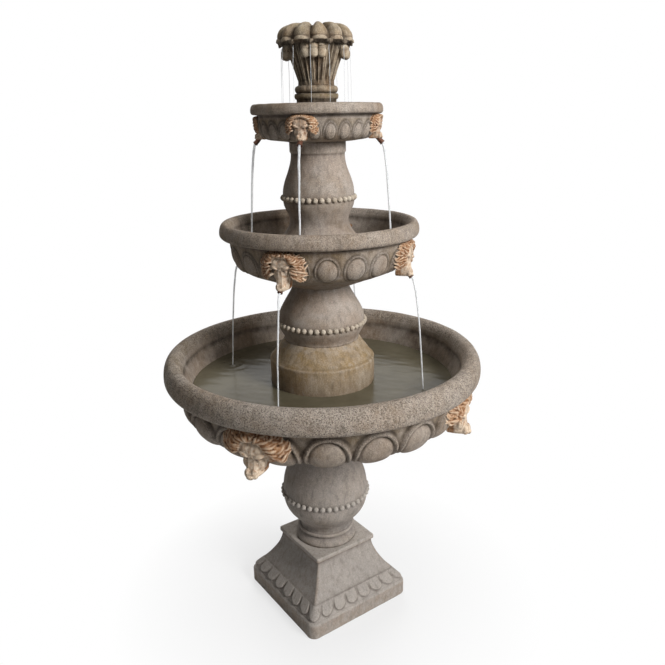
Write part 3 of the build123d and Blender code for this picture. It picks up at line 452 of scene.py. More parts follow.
def stream_shader(name):
    """Falling water, clear in some places and white in others."""
    s = Shader(name)
    broken = s.ramp(s.noise(35, 3, 0.6), 0.3, 0.75)
    s.set(Base_Color=s.mix(broken, (0.70, 0.72, 0.73, 1), (0.93, 0.94, 0.95, 1)),
          Roughness=0.12, IOR=WATER_IOR, Alpha=s.plus(s.times(broken, 0.35), 0.45))
    return s.mat


# Pale colour of wear; in the bowls it also paints a pool of light. The dark colours paint dirt and
# also the painted shade that the meshes mark.
WORN_AND_LIT = (188, 177, 164)
BOWL = stone("bowl_stone", base=(162, 151, 140), second=(136, 114, 92), pale=WORN_AND_LIT,
             dark=(62, 54, 47), stain=(122, 101, 62), pits=0.68)
BALUSTER = stone("baluster_stone", base=(172, 161, 151), second=(148, 127, 108), pale=WORN_AND_LIT,
                 dark=(72, 64, 58), stain=(134, 114, 90))
LOW_BALUSTER = stone("lower_baluster_stone", base=(156, 149, 143), second=(158, 147, 138),
                     pale=WORN_AND_LIT, dark=(70, 65, 61), stain=(132, 116, 98))
DRUM = stone("drum_stone", base=(160, 145, 124), second=(140, 114, 80), pale=WORN_AND_LIT,
             dark=(62, 52, 42), stain=(150, 122, 74))
FINIAL = stone("finial_stone", base=(150, 136, 118), second=(142, 110, 76), pale=(200, 187, 165),
               dark=(44, 36, 30), stain=(126, 108, 62), patch=22)
PLINTH = stone("plinth_stone", base=(171, 164, 157), second=(162, 156, 150), pale=(186, 177, 166),
               dark=(92, 82, 74), stain=(150, 128, 108), patch=9)
# Lion stone: its pale colour paints the highlights on the ridges and its dark one the shade in the
# hollows; its stain is the face's paler tone
LION = stone("lion_stone", base=(158, 115, 79), second=(124, 84, 56), pale=(226, 205, 179),
             dark=(46, 28, 18), stain=(208, 193, 175), patch=30, grain=0.2)
BEAD = stone("bead_stone", base=(180, 167, 150), second=(168, 150, 130), pale=(202, 191, 174),
             dark=(66, 54, 44), stain=(136, 112, 80), patch=20, grain=0.3)
LOW_BEAD = stone("lower_bead_stone", base=(160, 153, 145), second=(150, 141, 132),
                 pale=(184, 177, 168), dark=(60, 54, 48), stain=(128, 112, 92), patch=20, grain=0.3)
POOL = pool_shader("pool_water", shallow=(100, 94, 77), deep=(74, 68, 53))
STREAM = stream_shader("stream_water")
FINISH = {
    "copper": plain("copper_tube", (116, 78, 60), (82, 54, 42), 0.5, metallic=0.55),
    "pump_plastic": plain("pump_plastic", (38, 38, 40), (30, 30, 32), 0.5),
    "dial_plastic": plain("dial_plastic", (70, 71, 74), (58, 59, 62), 0.5),
    "rubber": plain("black_rubber", (34, 33, 32), (26, 26, 26), 0.75, scale=200),
    "hose_plastic": plain("hose_plastic", (36, 37, 37), (28, 29, 29), 0.4),
    "steel": plain("plain_steel", (176, 176, 174), (150, 150, 150), 0.35, metallic=1.0),
    "magnet": plain("dark_magnet", (62, 60, 60), (48, 47, 47), 0.55, metallic=0.6),
}


# Balusters
def turned(name, body, node, outline, cols, level, beads, bead_shade_h, shade=0.0, material=BALUSTER,
           bead_material=BEAD):
    """A turned casting with faint mould seams and painted shade in a band behind its beads, and the
    beads.
    """
    seams, seam_turn, seam_r, seam_w = 4, 20, 110, 1.2

    def seam(az, along):
        groove = hump(near(az, seam_turn, seams) * seam_r, 0, seam_w)
        return -0.5 * groove + 0.5 * wobble(3, az * 3, along / 40)
    points = raised(lathe(outline, cols, seam), level)
    outside = outline[:, 0] > 80
    # Painted shade: over the whole casting by shade, and in a band where the beads stand before the
    # wall
    dark = shade + 0.75 * hump(outline[:, 1], beads.height, bead_shade_h) * outside
    stain = clip01(patchy(11, points, 60)) * 0.7
    part = Part().grid(points, pale=0.1, dark=dark[:, None], stain=stain)
    piece(name, part, material, body, "stone_baluster", node)
    string = Part()
    for k in range(beads.count):
        ang = 2 * pi * k / beads.count
        place = (beads.ring_r * cos(ang), beads.ring_r * sin(ang), level + beads.height)
        string.grid(ball(beads.bead_r, *BALL_GRID) + place,
                    pale=0.5 + 0.3 * wobble(7, np.array(k * 1.0)))
    piece(name + "_beads", string, bead_material, body, "stone_baluster")


def band_ends(beads):
    return beads.height - beads.band, beads.height + beads.band


def closed_below(foot_r, start_z=60):
    """Socket under a casting, from the bore out to its foot."""
    return chain(line((BORE_R, start_z), (BORE_R, SOCKET_H)),
                 line((BORE_R, SOCKET_H), (SOCKET_R, SOCKET_H)),
                 [(SOCKET_R, 0)], line((SOCKET_R, 0), (foot_r, 0)))


def spigot_top(crown_r, height):
    """Crown of a casting with its spigot, and the bore down to its socket."""
    top = height + SPIGOT_H
    return chain(line((crown_r, height), (SPIGOT_R, height)), [(SPIGOT_R, top)], [(BORE_R, top)],
                 line((BORE_R, top), (BORE_R, SOCKET_H), 40))


def lower_baluster():
    bore, foot, belly, neck, crown, top = 70, 104, 143, 100, 112, 412
    beads = Beads(42, 143.0, 9.0, 174, 8.3)
    low, high = band_ends(beads)
    outline = chain(
        line((bore, top), (bore, 0), 40), line((bore, 0), (foot, 0)), line((foot, 0), (foot, 7)),
        curve([(foot, 7), (103, 16), (93, 22), (91, 33)], 12), oval(91, 39, 6, 6, -90, 90, 10),
        curve([(91, 45), (88, 50), (88, 54)], 5),
        curve([(88, 54), (92, 86), (belly, 98), (belly, low)], 30),
        line((belly, low), (belly, high), 3),
        curve([(belly, high), (belly, 269), (neck, 281), (neck, 365)], 36),
        curve([(neck, 365), (neck, 391), (105, top), (crown, top)], 8),
        line((crown, top), (bore, top)),
    )
    turned("lower_baluster_stone", "base", "lower_baluster", outline, 200, Z_BALUSTER, beads,
           bead_shade_h=8.03, shade=0.14, material=LOW_BALUSTER, bead_material=LOW_BEAD)


def middle_baluster():
    foot, belly, crown, top = 116, 135, 86, 173
    beads = Beads(44, 135.0, 8.6, 56, 8.2)
    low, high = band_ends(beads)
    outline = chain(
        closed_below(foot), curve([(foot, 0), (foot, 14), (belly, 34), (belly, low)], 14),
        line((belly, low), (belly, high), 3),
        curve([(belly, high), (belly, 98), (98, 138), (crown, top)], 30), spigot_top(crown, top),
    )
    turned("middle_baluster_stone", "middle_pedestal", "middle_baluster", outline, 192,
           Z_MIDDLE_BALUSTER, beads, bead_shade_h=9.46)


def upper_baluster():
    foot, waist, belly, neck, crown, top = 122, 88.5, 106.5, 79, 82.5, 379
    beads = Beads(36, 106.5, 8.3, 220, 8.2)
    low, high = band_ends(beads)
    outline = chain(
        closed_below(foot), line((foot, 0), (foot, 98), 12),
        curve([(foot, 98), (92, 126), (waist, 152)], 14),
        curve([(waist, 152), (waist, 176), (belly, 188), (belly, low)], 18),
        line((belly, low), (belly, high), 3),
        curve([(belly, high), (belly, 275), (neck, 299), (neck, 346)], 30),
        line((neck, 346), (crown, 352), 2), line((crown, 352), (crown, top), 5),
        spigot_top(crown, top),
    )
    turned("upper_baluster_stone", "upper_pedestal", "upper_baluster", outline, 176,
           Z_UPPER_BALUSTER, beads, bead_shade_h=9.13)


lower_baluster()
middle_baluster()
upper_baluster()


# Bowls
def egg_relief(across, along, eggs):
    """Height of an egg with the band round it, and how near a point is to their grooves."""
    inner, outer = eggs.inner, eggs.outer
    rho = np.sqrt((across / eggs.half_w) ** 2 + (along / eggs.half_h) ** 2)
    mid, half = (inner + outer) / 2, (outer - inner) / 2
    top = eggs.top * np.clip(0.85 + along / eggs.half_h, 0.35, 1)
    egg = eggs.dome * clip01(1 - rho ** 2.6) ** 0.5
    band = top * clip01(1 - np.abs((rho - mid) / half) ** 2.5) ** 0.5
    edges = ((1 + inner) / 2, outer + 0.03)
    groove = sum(hump((rho - edge) * eggs.half_w, 0, 2.4) for edge in edges)
    return np.maximum(egg, band), clip01(groove)


def bowl(name, body, node, level, cols, seat_r, knuckle, turn_r, neck_r, rim, inner, inner_turn_r,
         well, under, floor, eggs, wear, foot_darkening, lit_patch):
    """A bowl with a rolled rim and eggs round its wall.

    wear pales it, the wall darkens towards its foot, and a painted pool of light, where the lamp
    falls, makes a pale patch inside.
    """
    shady_turn = 150
    under_rim = (neck_r, rim.z - rim.down)
    shell = rounded((seat_r, 0), knuckle, under_rim, turn_r, 2.6)
    roll = chain(oval(rim.r, rim.z, rim.half_w, rim.down, -90, 0, 14, 2.5),
                 oval(rim.r, rim.z, rim.half_w, rim.up, 0, 180, 34, 2.2))
    inside = rounded((rim.r - rim.half_w, rim.z), inner, well, inner_turn_r, 6.0)
    outline = chain(under, shell, line(under_rim, roll[0], 4), roll, inside, floor)
    radius, height = outline[:, :1], outline[:, 1:]
    along = lengths(outline)[:, None]
    rows = np.arange(len(outline))[:, None]
    first = len(under)
    last = first + len(shell) - 1
    on_wall = (rows >= first) & (rows <= last)
    is_rim = (height >= under_rim[1]) & (radius > rim.r - rim.half_w * 0.9) & (rows > last)
    is_inside = (rows > last) & ~is_rim
    off_middle = np.abs(height - eggs.middle) + 1e3 * ((radius < seat_r * 1.6) | ~on_wall)
    centre = np.argmin(off_middle)
    from_centre = along - along[centre]
    fade = clip01((along[last] - along) / 6) * clip01((along - along[first]) / 20) * on_wall

    def shape(az):
        across = near(az, eggs.turn, eggs.count) * radius[centre]
        relief, groove = egg_relief(across, from_centre, eggs)
        return relief * fade, groove * fade

    def lift(az, _):
        rough = wobble(5, az * 5, along / 30)
        rim_rough = 0.6 * (np.clip(rough, -1, 1) - 1)
        return shape(az)[0] + np.where(is_rim, rim_rough, 0.7 * rough)
    points = raised(lathe(outline, cols, lift), level)
    az = np.arctan2(points[..., 1], points[..., 0])
    relief, groove = shape(bearings(cols)[None, :])
    ground = on_wall * (relief < 1.5) * (np.abs(from_centre) < eggs.half_h * 1.5)
    # Painted pool of light on the inside wall, where the lamp falls: paler, with the painted shade
    # lifted
    lit_spot = hump(near(az, lit_patch.bearing, 1) * rim.r, 0, lit_patch.width) * is_inside
    lit_spot = lit_spot * hump(points[..., 2], lit_patch.z, lit_patch.width * 0.6)
    # Painted shade on the rim's side away from the light, which is also stained there
    shady = hump(near(az, shady_turn, 1), 0, 0.7) * is_rim
    # Painted shadow in a line under the rim
    under_line = hump(height, under_rim[1] - 3, 6) * (radius > neck_r - 4) * (rows <= last + 6)
    darker_to_foot = on_wall * foot_darkening * clip01((along[last] - along) / (along[last] - along[centre]))
    # Painted shade inside the bowl; the wall also gets darker towards its foot
    by_row = np.where(is_inside, 0.31, 0.0) + 0.7 * under_line + darker_to_foot
    # Painted shade in the grooves round the eggs and a little on the ground between them
    in_groove = min(0.75, 0.13 * eggs.top)
    dark = by_row + in_groove * groove + 0.1 * ground + 0.22 * shady
    stain = 0.45 * ground + 0.3 * clip01(wobble(9, az * 2, points[..., 2] / 50)) + 0.55 * shady
    pale = np.where(is_rim, 0.4, 0.08) * wear + 0.9 * lit_spot
    part = Part().grid(points, pale=pale, dark=dark * (1 - lit_spot), stain=stain)
    piece(name, part, BOWL, body, "stone_bowl", node)


def basin_under(seat_r, lip_in=62, lip_out=69, lip_h=10):
    """Closed underside with the lip that centres the basin in the lower baluster's bore."""
    return chain([(0.01, 0)], line((0.01, 0), (lip_in, 0)), [(lip_in, -lip_h)],
                 [(lip_out, -lip_h)], [(lip_out, 0)], line((lip_out, 0), (seat_r, 0)))


def bowl_under(seat_r):
    return chain([(GROMMET_R, SOCKET_H)], line((GROMMET_R, SOCKET_H), (SOCKET_R, SOCKET_H)),
                 [(SOCKET_R, 0)], line((SOCKET_R, 0), (seat_r, 0)))


def bowl_floor(well):
    top = well[1] + SPIGOT_H
    return chain(line(well, (SPIGOT_R, well[1])), [(SPIGOT_R, top)], [(GROMMET_R, top)],
                 line((GROMMET_R, top), (GROMMET_R, SOCKET_H), 12))


bowl("lower_basin_stone", "base", "lower_basin", Z_BASIN, cols=720, seat_r=118,
     knuckle=(433, 82), turn_r=80, neck_r=444, rim=Rim(470, 222, 30, 49, 29),
     inner=(392, 108), inner_turn_r=50, well=(186, 44),
     under=basin_under(118), floor=line((186, 44), (0.01, 44), 20),
     eggs=Eggs(20, 2.6, 51, 62, 15, 1.02, 1.26, 11.5, 101),
     wear=1.0, foot_darkening=0.16, lit_patch=LitPatch(112, 850, 45))
bowl("middle_bowl_stone", "middle_tier", "middle_bowl", Z_MIDDLE_BOWL, cols=600, seat_r=89,
     knuckle=(252, 63), turn_r=62, neck_r=272, rim=Rim(284, 167, 17, 31, 14),
     inner=(230, 76), inner_turn_r=34, well=(140, 44),
     under=bowl_under(89), floor=bowl_floor((140, 44)),
     eggs=Eggs(20, 5.6, 28.5, 36, 7.4, 1.06, 1.24, 4.0, 90),
     wear=0.7, foot_darkening=0.0, lit_patch=LitPatch(118, 1270, 45))
bowl("top_bowl_stone", "top_tier", "top_bowl", Z_TOP_BOWL, cols=520, seat_r=85,
     knuckle=(159, 8), turn_r=34, neck_r=171, rim=Rim(179, 85, 12, 19, 11),
     inner=(141, 26), inner_turn_r=26, well=(96, 18),
     under=bowl_under(85), floor=bowl_floor((96, 18)),
     eggs=Eggs(24, 7.9, 15.0, 23, 5.4, 1.08, 1.3, 3.4, 27),
     wear=0.55, foot_darkening=0.0, lit_patch=LitPatch(150, 1610, 20))


# Drum over the pump, open underneath, with four water slots along its foot
def drum():
    inner, outer, crown, ceiling = 148, 166, 264, 242
    spigot = crown + SPIGOT_H
    slot_half_w, slot_h = 24, 36
    outline = chain(
        line((inner, 0), (outer, 0)), line((outer, 0), (outer, 196), 10),
        oval(160, 199, 6, 8, 0, 45, 5), line((160, 208), (121, 262), 6), [(119, crown)],
        line((119, crown), (SPIGOT_R, crown), 12), [(SPIGOT_R, spigot)], [(BORE_R, spigot)],
        line((BORE_R, spigot), (BORE_R, ceiling), 12), line((BORE_R, ceiling), (101, ceiling), 20),
        line((101, ceiling), (inner, 198), 12), line((inner, 198), (inner, 0), 20),
    )
    points = lathe(outline, 240, lambda az, along: 0.8 * wobble(4, az * 4, along / 30))
    points = raised(points, Z_DRUM)
    x, y, z = np.moveaxis(points, -1, 0)
    wet_z, warm_z, shoulder_z = 870, 840, 893
    wet = 0.66 * clip01((wet_z - z) / 70)
    warm = 0.9 * clip01((z - warm_z) / 60)
    part = Part().grid(points, pale=0.08 + 0.2 * (z > shoulder_z), dark=wet, stain=warm)
    in_slot = np.abs(near(np.arctan2(y, x), 0, 4)) * (inner + outer) / 2 < slot_half_w
    cut = (in_slot & (z < Z_DRUM + slot_h)).ravel()
    quads = part.quads[0]
    part.quads[0] = quads[~cut[quads].all(1)]
    piece("pump_cover_stone", part, DRUM, "pump_cover", "stone_drum", "pump_cover_drum")


drum()


# Plinth: square sections with tongue scales lapping over the band
def square_section(half, corner, t):
    """Point on a rounded square, t from 0 to 4 from the middle of the +X side, and its offset."""
    straight_share = 0.9
    ang = np.floor((t + 0.5) % 4) * pi / 2
    s = ((t + 0.5) % 1 - 0.5) * 2
    arc = clip01((np.abs(s) - straight_share) / (1 - straight_share)) * (pi / 4)
    straight = clip01(np.abs(s) / straight_share) * (half - corner)
    x = half - corner + corner * np.cos(arc)
    y = np.sign(s) * (straight + corner * np.sin(arc))
    return x * np.cos(ang) - y * np.sin(ang), x * np.sin(ang) + y * np.cos(ang), y


def plinth():
    per_side = 176
    slope_z, body_z, plate_z, top_z = 58, 98, 212, 228
    foot = chain(
        line((169, 0), (199, 0), 10), oval(197, 4, 4, 4, -90, 0, 4), line((201, 4), (201, 47), 6),
        oval(191, 47, 10, 11, 0, 75, 8), line((193.5, slope_z), (167, 97), 1.6),
    )
    rise = np.linspace(0, 1, 26)
    body = np.stack([113 + 52 * (1 - rise) ** 1.7, body_z + (plate_z - body_z) * rise], 1)
    plate = chain(
        line((113, plate_z), (116.5, 213), 2), oval(116.5, 216, 3, 3, -90, 0, 4),
        line((119.5, 216), (119.5, 225), 3), oval(116.5, 225, 3, 3, 0, 90, 4),
        line((116.5, top_z), (70, top_z), 8), line((70, top_z), (70, 206), 12),
    )
    hollow = chain(line((70, 206), (81, 196), 12), line((81, 196), (169, 0), 20))
    rows = chain(foot, body, plate, hollow)
    half, level = rows[:, :1], rows[:, 1:]
    corner = np.interp(level, [slope_z, body_z, plate_z, 213, top_z], [22, 7, 5, 6, 6])
    corner = np.where(level < 60, 26, corner)
    corner = np.where((half <= 71) & (level > 200), 69, corner)
    corner = np.minimum(corner, half * 0.985)
    t = (np.arange(4 * per_side) / per_side)[None, :]
    x, y, offset = square_section(half + 0 * t, corner + 0 * t, t + 0 * half)

    # Tongues: one on each corner and six between, as distances down the slope from its top
    along = lengths(rows)
    down = (along[len(foot) - 1] - along)[:, None]
    pitch, per_half, half_w, tip, lip, proud = 52.5, 3.5, 23.0, 43.0, 2.2, 7.5
    cell = offset / (half - 0.293 * corner) * pitch * per_half % pitch - pitch / 2
    end = tip - half_w + np.sqrt(np.clip(half_w ** 2 - cell ** 2, 0, None))
    edge = clip01((end - down) / lip) * clip01((half_w - np.abs(cell)) / lip)
    tongue = edge * clip01(down / 46) ** 0.8 * proud * (down > -2)
    nx, ny = x / np.hypot(x, y), y / np.hypot(x, y)
    on_slope = (level > slope_z - 1) & (level < body_z + 1)
    x, y, z = x + nx * tongue * 0.85, y + ny * tongue * 0.85, level + tongue * 0.5 * on_slope
    rough = 0.5 * wobble(6, x / 30, y / 30, z / 30)
    points = np.stack([x + nx * rough, y + ny * rough, z], -1)

    outer = (np.arange(len(rows)) < len(rows) - len(hollow))[:, None]
    # Painted shade along the tongues' edges
    border = clip01(1 - np.abs(edge - 0.5) * 2) * (np.abs(down - 24) < 26) * outer
    band = 0.55 * ((level < 50) & outer)
    plate_line = 0.8 * hump(level, 213, 5) * outer
    arrises = 0.8 * clip01(1 - (half - np.abs(offset)) / 9) * (level > body_z) * (level < 226)
    stain = clip01(band + plate_line + arrises)
    part = Part().grid(points, pale=0.08, dark=0.8 * border, stain=stain)
    piece("plinth_stone", part, PLINTH, "base", "stone_plinth", "plinth")


plinth()


# Finial
def lobe_share(az):
    """0 on a lobe's ridge and 1 in the valley between two lobes, and the way across a lobe."""
    t = near(az, FINIAL_TURN, FINIAL_LOBES) / (pi / FINIAL_LOBES)
    return 0.5 * t ** 2 + 0.5 * (1 - np.sqrt(clip01(1 - (0.94 * t) ** 2))), t


def cap():
    lobe_depth, hem_drop = 24.0, 11.0
    under = chain(line((BORE_R, 0), (92, 0), 12), line((92, 0), (97, -6), 2),
                  [(100, -7.6), (104, -8)])
    outline = chain(
        under, line((104, -8), (109.5, -7), 2),
        curve([(109.5, -7), (109, 3), (105, 6), (105.5, 13)], 12),
        curve([(105.5, 13), (107.5, 28), (98, 47), (64, 50.5)], 26),
        line((64, 50.5), (44, 51.5), 4), line((44, 51.5), (20, 45), 4),
        [(BORE_R, 44)], line((BORE_R, 44), (BORE_R, 0), 20),
    )
    rows = np.arange(len(outline))
    radius, height = outline[:, :1], outline[:, 1:]
    over = (rows >= len(under))[:, None]
    deep = np.interp(radius, [16, 26, 42, 75, 108], [0.05, 0.5, 0.95, 1.0, 0.68]) * over
    points = lathe(outline, 480, lambda az, _: -lobe_depth * lobe_share(az)[0] * deep)
    x, y, z = np.moveaxis(points, -1, 0)
    valley, t = lobe_share(np.arctan2(y, x))
    skirt = clip01((16 - z) / 16) * (np.hypot(x, y) > 60) * (rows > 8)[:, None]
    points[..., 2] += skirt * (hem_drop * (1 - t ** 2) - 0.4)
    points = raised(points, Z_CAP)
    hem = hump(height, 2, 6) * over
    fold = hump(height, 11, 3) * over * (radius > 90)
    high = clip01((points[..., 2] - Z_CAP - 12) / 25)
    stain = high * (0.4 + 0.6 * clip01(1.4 * patchy(21, points, 35) + 0.2))
    # Painted shade in the valleys between the lobes, under the cap and in the fold above the hem
    dark = clip01(1.25 * valley ** 1.1 + 0.9 * ~over + 0.6 * fold)
    # Painted highlight on the tops of the lobes' ridges; the hem is paler
    pale = 0.1 + 0.5 * hem + 0.4 * high * (1 - valley) ** 3
    part = Part().grid(points, pale=pale, dark=dark, stain=stain)
    piece("finial_cap_stone", part, FINIAL, "finial", "stone_finial", "finial_cap")


def scroll(leaves, turn, side):
    """One roll of a leaf: it hangs under the cap and turns out at its rounded foot."""
    s = np.linspace(0, 1, 24)
    out, up = curve([(74, 243), (80, 232), (86, 216), (80, 203)], len(s)).T
    across = side * (20.5 + 2.0 * np.sin(s * pi))
    path = swung(out - abs(side) * 2.5, across, Z_VASE + up, turn)
    thick = np.interp(s, [0, 0.02, 0.5, 0.88, 0.97, 1], [2, 11, 14, 13.5, 9, 0.5])
    thick = thick * (1.06 if side == 0 else 1.0)
    band = hump(s, 0.52, 0.05)
    # Painted shade where the roll tucks under the cap and in the crease across it
    dark = 0.3 * (s < 0.25) + 0.5 * band
    leaves.grid(lock(path, thick * (1 - 0.12 * band), 16), pale=0.35, dark=dark[:, None], stain=0.1)


def vase():
    cols = 420
    foot, top = 57, 242
    outline = chain(
        closed_below(foot), line((foot, 0), (foot, 96), 12), line((foot, 96), (62, 99), 2),
        oval(60, 105.5, 3, 6.5, -90, 90, 10), line((60, 112), (52, 112), 3),
        oval(51, 122, 9, 9.8, -85, 85, 14), line((51, 132), (50, 146), 4),
        curve([(50, 146), (55, 165), (71, 205), (84, top)], 40), line((84, top), (BORE_R, top), 12),
        line((BORE_R, top), (BORE_R, SOCKET_H), 60),
    )
    radius, height = outline[:, :1], outline[:, 1:]
    flare = clip01((height - 136) / 16) * (radius > 45)
    ends = hump(height, 126, 9) * (radius > 50)

    def panel(az):
        rib = np.abs(near(az, FINIAL_TURN, FINIAL_LOBES)) / (pi / FINIAL_LOBES)
        groove = clip01(1 - ((rib - 0.38) / 0.3) ** 2) ** 0.5
        return groove * flare, (hump(rib, 0.84, 0.07) + hump(rib, 0, 0.06)) * flare

    def lift(az, _):
        groove, ridge = panel(az)
        return 2.0 * ridge - 3.6 * groove + 2.6 * np.abs(np.sin(az * 6 + 0.3)) ** 0.6 * ends
    points = raised(lathe(outline, cols, lift), Z_VASE)
    groove, ridge = panel(bearings(cols)[None, :])
    z = points[..., 2] - Z_VASE
    under_cap, waist_line, sunk = clip01((z - 216) / 22), hump(z, 113, 4), z < 94
    # Painted shade under the cap, in the line at the waist, on the foot sunk in the bowl and in the
    # grooves; painted highlight on the ridges
    dark = 0.34 + 0.75 * under_cap + 0.6 * waist_line + 0.7 * sunk + 0.34 * groove - 0.4 * ridge
    stain = 0.4 * clip01(patchy(23, points, 25)) + 0.8 * hump(z, 107, 5)
    part = Part().grid(points, pale=0.1 + 0.75 * ridge, dark=clip01(dark), stain=clip01(stain))
    piece("finial_vase_stone", part, FINIAL, "finial", "stone_finial", "finial_vase")
    leaves = Part()
    for turn in four(51.6):
        for side in (-1, 0, 1):
            scroll(leaves, radians(turn), side)
    piece("finial_leaves", leaves, FINIAL, "finial", "stone_finial")


cap()
vase()


# Lion masks. A strand starts and ends at shares of the way out from the face to the mane's edge
MANE = (Strands(0.25, 1.0, 39, 0.36, 0.023), Strands(0.05, 0.88, 35, 0.54, 0.024),
        Strands(-0.1, 0.7, 29, 0.68, 0.023))


def lion_face(part, u, eye, low):
    """Face, in units of half its width u, from the eyes' height. low is the muzzle's end."""
    base = np.array([0, eye, 0])

    def put(x, y, z, rx, ry, rz, tilt=0.0):
        part.grid(lobe(np.array([x, y, z]) * u + base, np.array([rx, ry, rz]) * u, tilt))
    high = np.array([1.3, 1.15, 0.75, 0.35, 0.0, -0.3,
                     low * 0.55, low + 0.5, low + 0.25, low + 0.06])
    wide = np.array([0.4, 0.75, 0.98, 1.0, 0.86, 0.76, 0.62, 0.54, 0.5, 0.38])
    front = np.array([0.3, 0.52, 0.76, 0.84, 0.76, 0.8, 0.92, 1.06, 1.12, 0.95])
    y = np.r_[1.3, np.linspace(1.3, low + 0.06, 40), low + 0.02][:, None]
    wide, front = (np.interp(y, high[::-1], v[::-1]) for v in (wide, front))
    wide[[0, -1]] = front[[0, -1]] = 0
    c, s = np.cos(bearings(28)), np.sin(bearings(28))
    c, s = np.sign(c) * np.abs(c) ** 0.85, np.where(s > 0, np.maximum(s, 0) ** 0.9, -0.35)
    part.grid(np.stack([wide * c, y + 0 * c, front * s], -1) * u + base)
    for side in (-1, 1):
        put(side * 0.42, 0.55, 0.54, 0.46, 0.42, 0.27)  # forehead
        put(side * 0.5, 0.24, 0.7, 0.38, 0.17, 0.2, side * 0.35)  # brow
        put(side * 0.46, -0.04, 0.66, 0.17, 0.1, 0.12)  # eye
        put(side * 0.46, -0.36, 0.5, 0.28, 0.4, 0.2)  # cheek
        put(side * 0.22, low + 0.36, 0.88, 0.25, 0.34, 0.22)  # lip
    steps = np.linspace(0, 1, 9)
    start, end = np.array([0, 0.8, 0.42]), np.array([0, low + 0.35, 1.08])
    bridge = start * (1 - steps[:, None]) + end * steps[:, None]
    part.grid(lock(bridge * u + base, np.interp(steps, [0, 0.45, 1], [0.2, 0.2, 0.24]) * u))
    put(0, low + 0.2, 1.1, 0.26, 0.15, 0.13)  # nose


def lion_mane(part, lion, u, rng):
    """Wavy strands in layers over a cushion, from the face out to a squarish edge."""
    centre = lion.eye + 0.25 * u
    cushion = (lion.width * 0.44, (lion.crown - centre) * 0.72, u * 0.36)
    part.grid(lobe((0, centre + 0.45 * u, 0), cushion))
    s = np.linspace(0, 1, 17)
    taper = np.interp(s, [0, 0.12, 0.6, 0.9, 1], [0.5, 1.0, 1.05, 0.6, 0.12])
    for layer in MANE:
        span = lion.spread - 30 * (1 - layer.start)
        for k in range(layer.count):
            phi = radians(90 + (k / (layer.count - 1) - 0.5) * span)
            way = 1 if cos(phi) > 0 else -1
            swirl = 0.22 * way + rng.uniform(-0.32, 0.32)
            grow = rng.uniform(0.9, 1.0)
            share = layer.start + (layer.end * grow - layer.start) * s
            wave = np.sin(s * pi * 2.0 + rng.uniform(0, 2)) * 0.36 + s * 0.5
            ang = phi + swirl * wave - 0.1 * way * s ** 2 * abs(cos(phi))
            tall = np.where(np.sin(ang) > 0, lion.crown - centre, lion.width * 0.42)
            rx = 0.93 * u + (lion.width / 2 - 0.93 * u) * share
            ry = 0.92 * u + (tall - 0.92 * u) * share
            lift = 0.8 + 0.35 * np.sin(s * 2.8 + 0.2) + rng.uniform(-0.08, 0.12)
            c, r = (np.sign(v) * np.abs(v) ** 0.8 for v in (np.cos(ang), np.sin(ang)))
            out = u * layer.peak * lift * (1 - s ** 4 * 0.5)
            path = np.stack([rx * c, centre + ry * r, out], 1)
            part.grid(lock(path, lion.width * layer.thick * taper))


def blended(name, part, voxel):
    """One mesh grown over the overlapping shapes of a part."""
    me = bpy.data.meshes.new(name + "_parts")
    points, quads = np.concatenate(part.points) * MM, np.concatenate(part.quads)
    me.from_pydata(points.tolist(), [], quads.tolist())
    obj = new_object(name + "_parts", me)
    grown = obj.modifiers.new("blend", "REMESH")
    grown.mode, grown.voxel_size, grown.adaptivity = "VOXEL", voxel * MM, 0.0
    soft = obj.modifiers.new("soften", "SMOOTH")
    soft.factor, soft.iterations = 0.5, 2
    out = bpy.data.meshes.new_from_object(obj.evaluated_get(bpy.context.evaluated_depsgraph_get()))
    bpy.data.objects.remove(obj)
    out.name = name
    out.polygons.foreach_set("use_smooth", np.ones(len(out.polygons), bool))
    return out


def lion_mesh(name, bowl_r, lean, lion, fair, seed, voxel):
    """A lion's head, drawn as x across, y up and z out, then bent round the bowl's wall.

    fair is how pale the face is against the mane.
    """
    u = lion.half_face
    low = (lion.foot - lion.eye) / u
    part = Part()
    lion_face(part, u, lion.eye, low)
    lion_mane(part, lion, u, np.random.default_rng(seed))
    me = blended(name, part, voxel)
    co = vectors(me, "co") / MM
    fx, fy, fz = np.abs(co[:, 0]) / u, (co[:, 1] - lion.eye) / u, co[:, 2] / u
    half = np.interp(fy, [low, low + 0.6, -0.3, 0.5, 1.1], [0.75, 0.9, 1.0, 0.95, 0.65])
    face = clip01((half - fx) / 0.12) * clip01((1.25 - fy) / 0.15) * clip01((fz - 0.1) / 0.15)
    # Painted shade in the eye sockets, nostrils, mouth and furrow
    eyes = hump(fx, 0.44, 0.22) * hump(fy, 0.02, 0.1) * (fz > 0.4)
    nostril = hump(fx, 0.2, 0.1) * hump(fy, low + 0.16, 0.08) * (fz > 0.8)
    mouth = hump(fy, low + 0.02, 0.05) * (fx < 0.6)
    furrow = hump(fx, 0, 0.07) * (fy > 0.2) * (fy < 1.0)
    muzzle = clip01((low + 0.75 - fy) / 0.4)
    depth = hollows(me, 7) / (voxel * 0.00045)
    zones = np.zeros((len(co), 3))
    # Painted highlight on the ridges and painted shade in the hollows; the face is paler in tone,
    # most on the muzzle
    zones[:, 0] = clip01(-depth) * (0.9 - 0.5 * face) + (fair + 0.5 * muzzle) * face
    zones[:, 1] = (clip01(depth) * (1 - 0.6 * face) + (1.15 - fair) * eyes + nostril
                   + 0.5 * mouth + (0.7 - fair) * furrow)
    zones[:, 2] = face * (0.6 + fair)
    store(me, zones)
    co += (softened(me, 4) / MM - co) * face[:, None] * 0.8
    x, y, z = co.T
    bent = np.stack([bowl_r + z - x ** 2 / (2 * bowl_r) + y * lean, x, y], 1)
    me.vertices.foreach_set("co", (bent * MM).astype(np.float32).ravel())
    me.update()
    me.materials.clear()
    me.materials.append(LION)
    return me


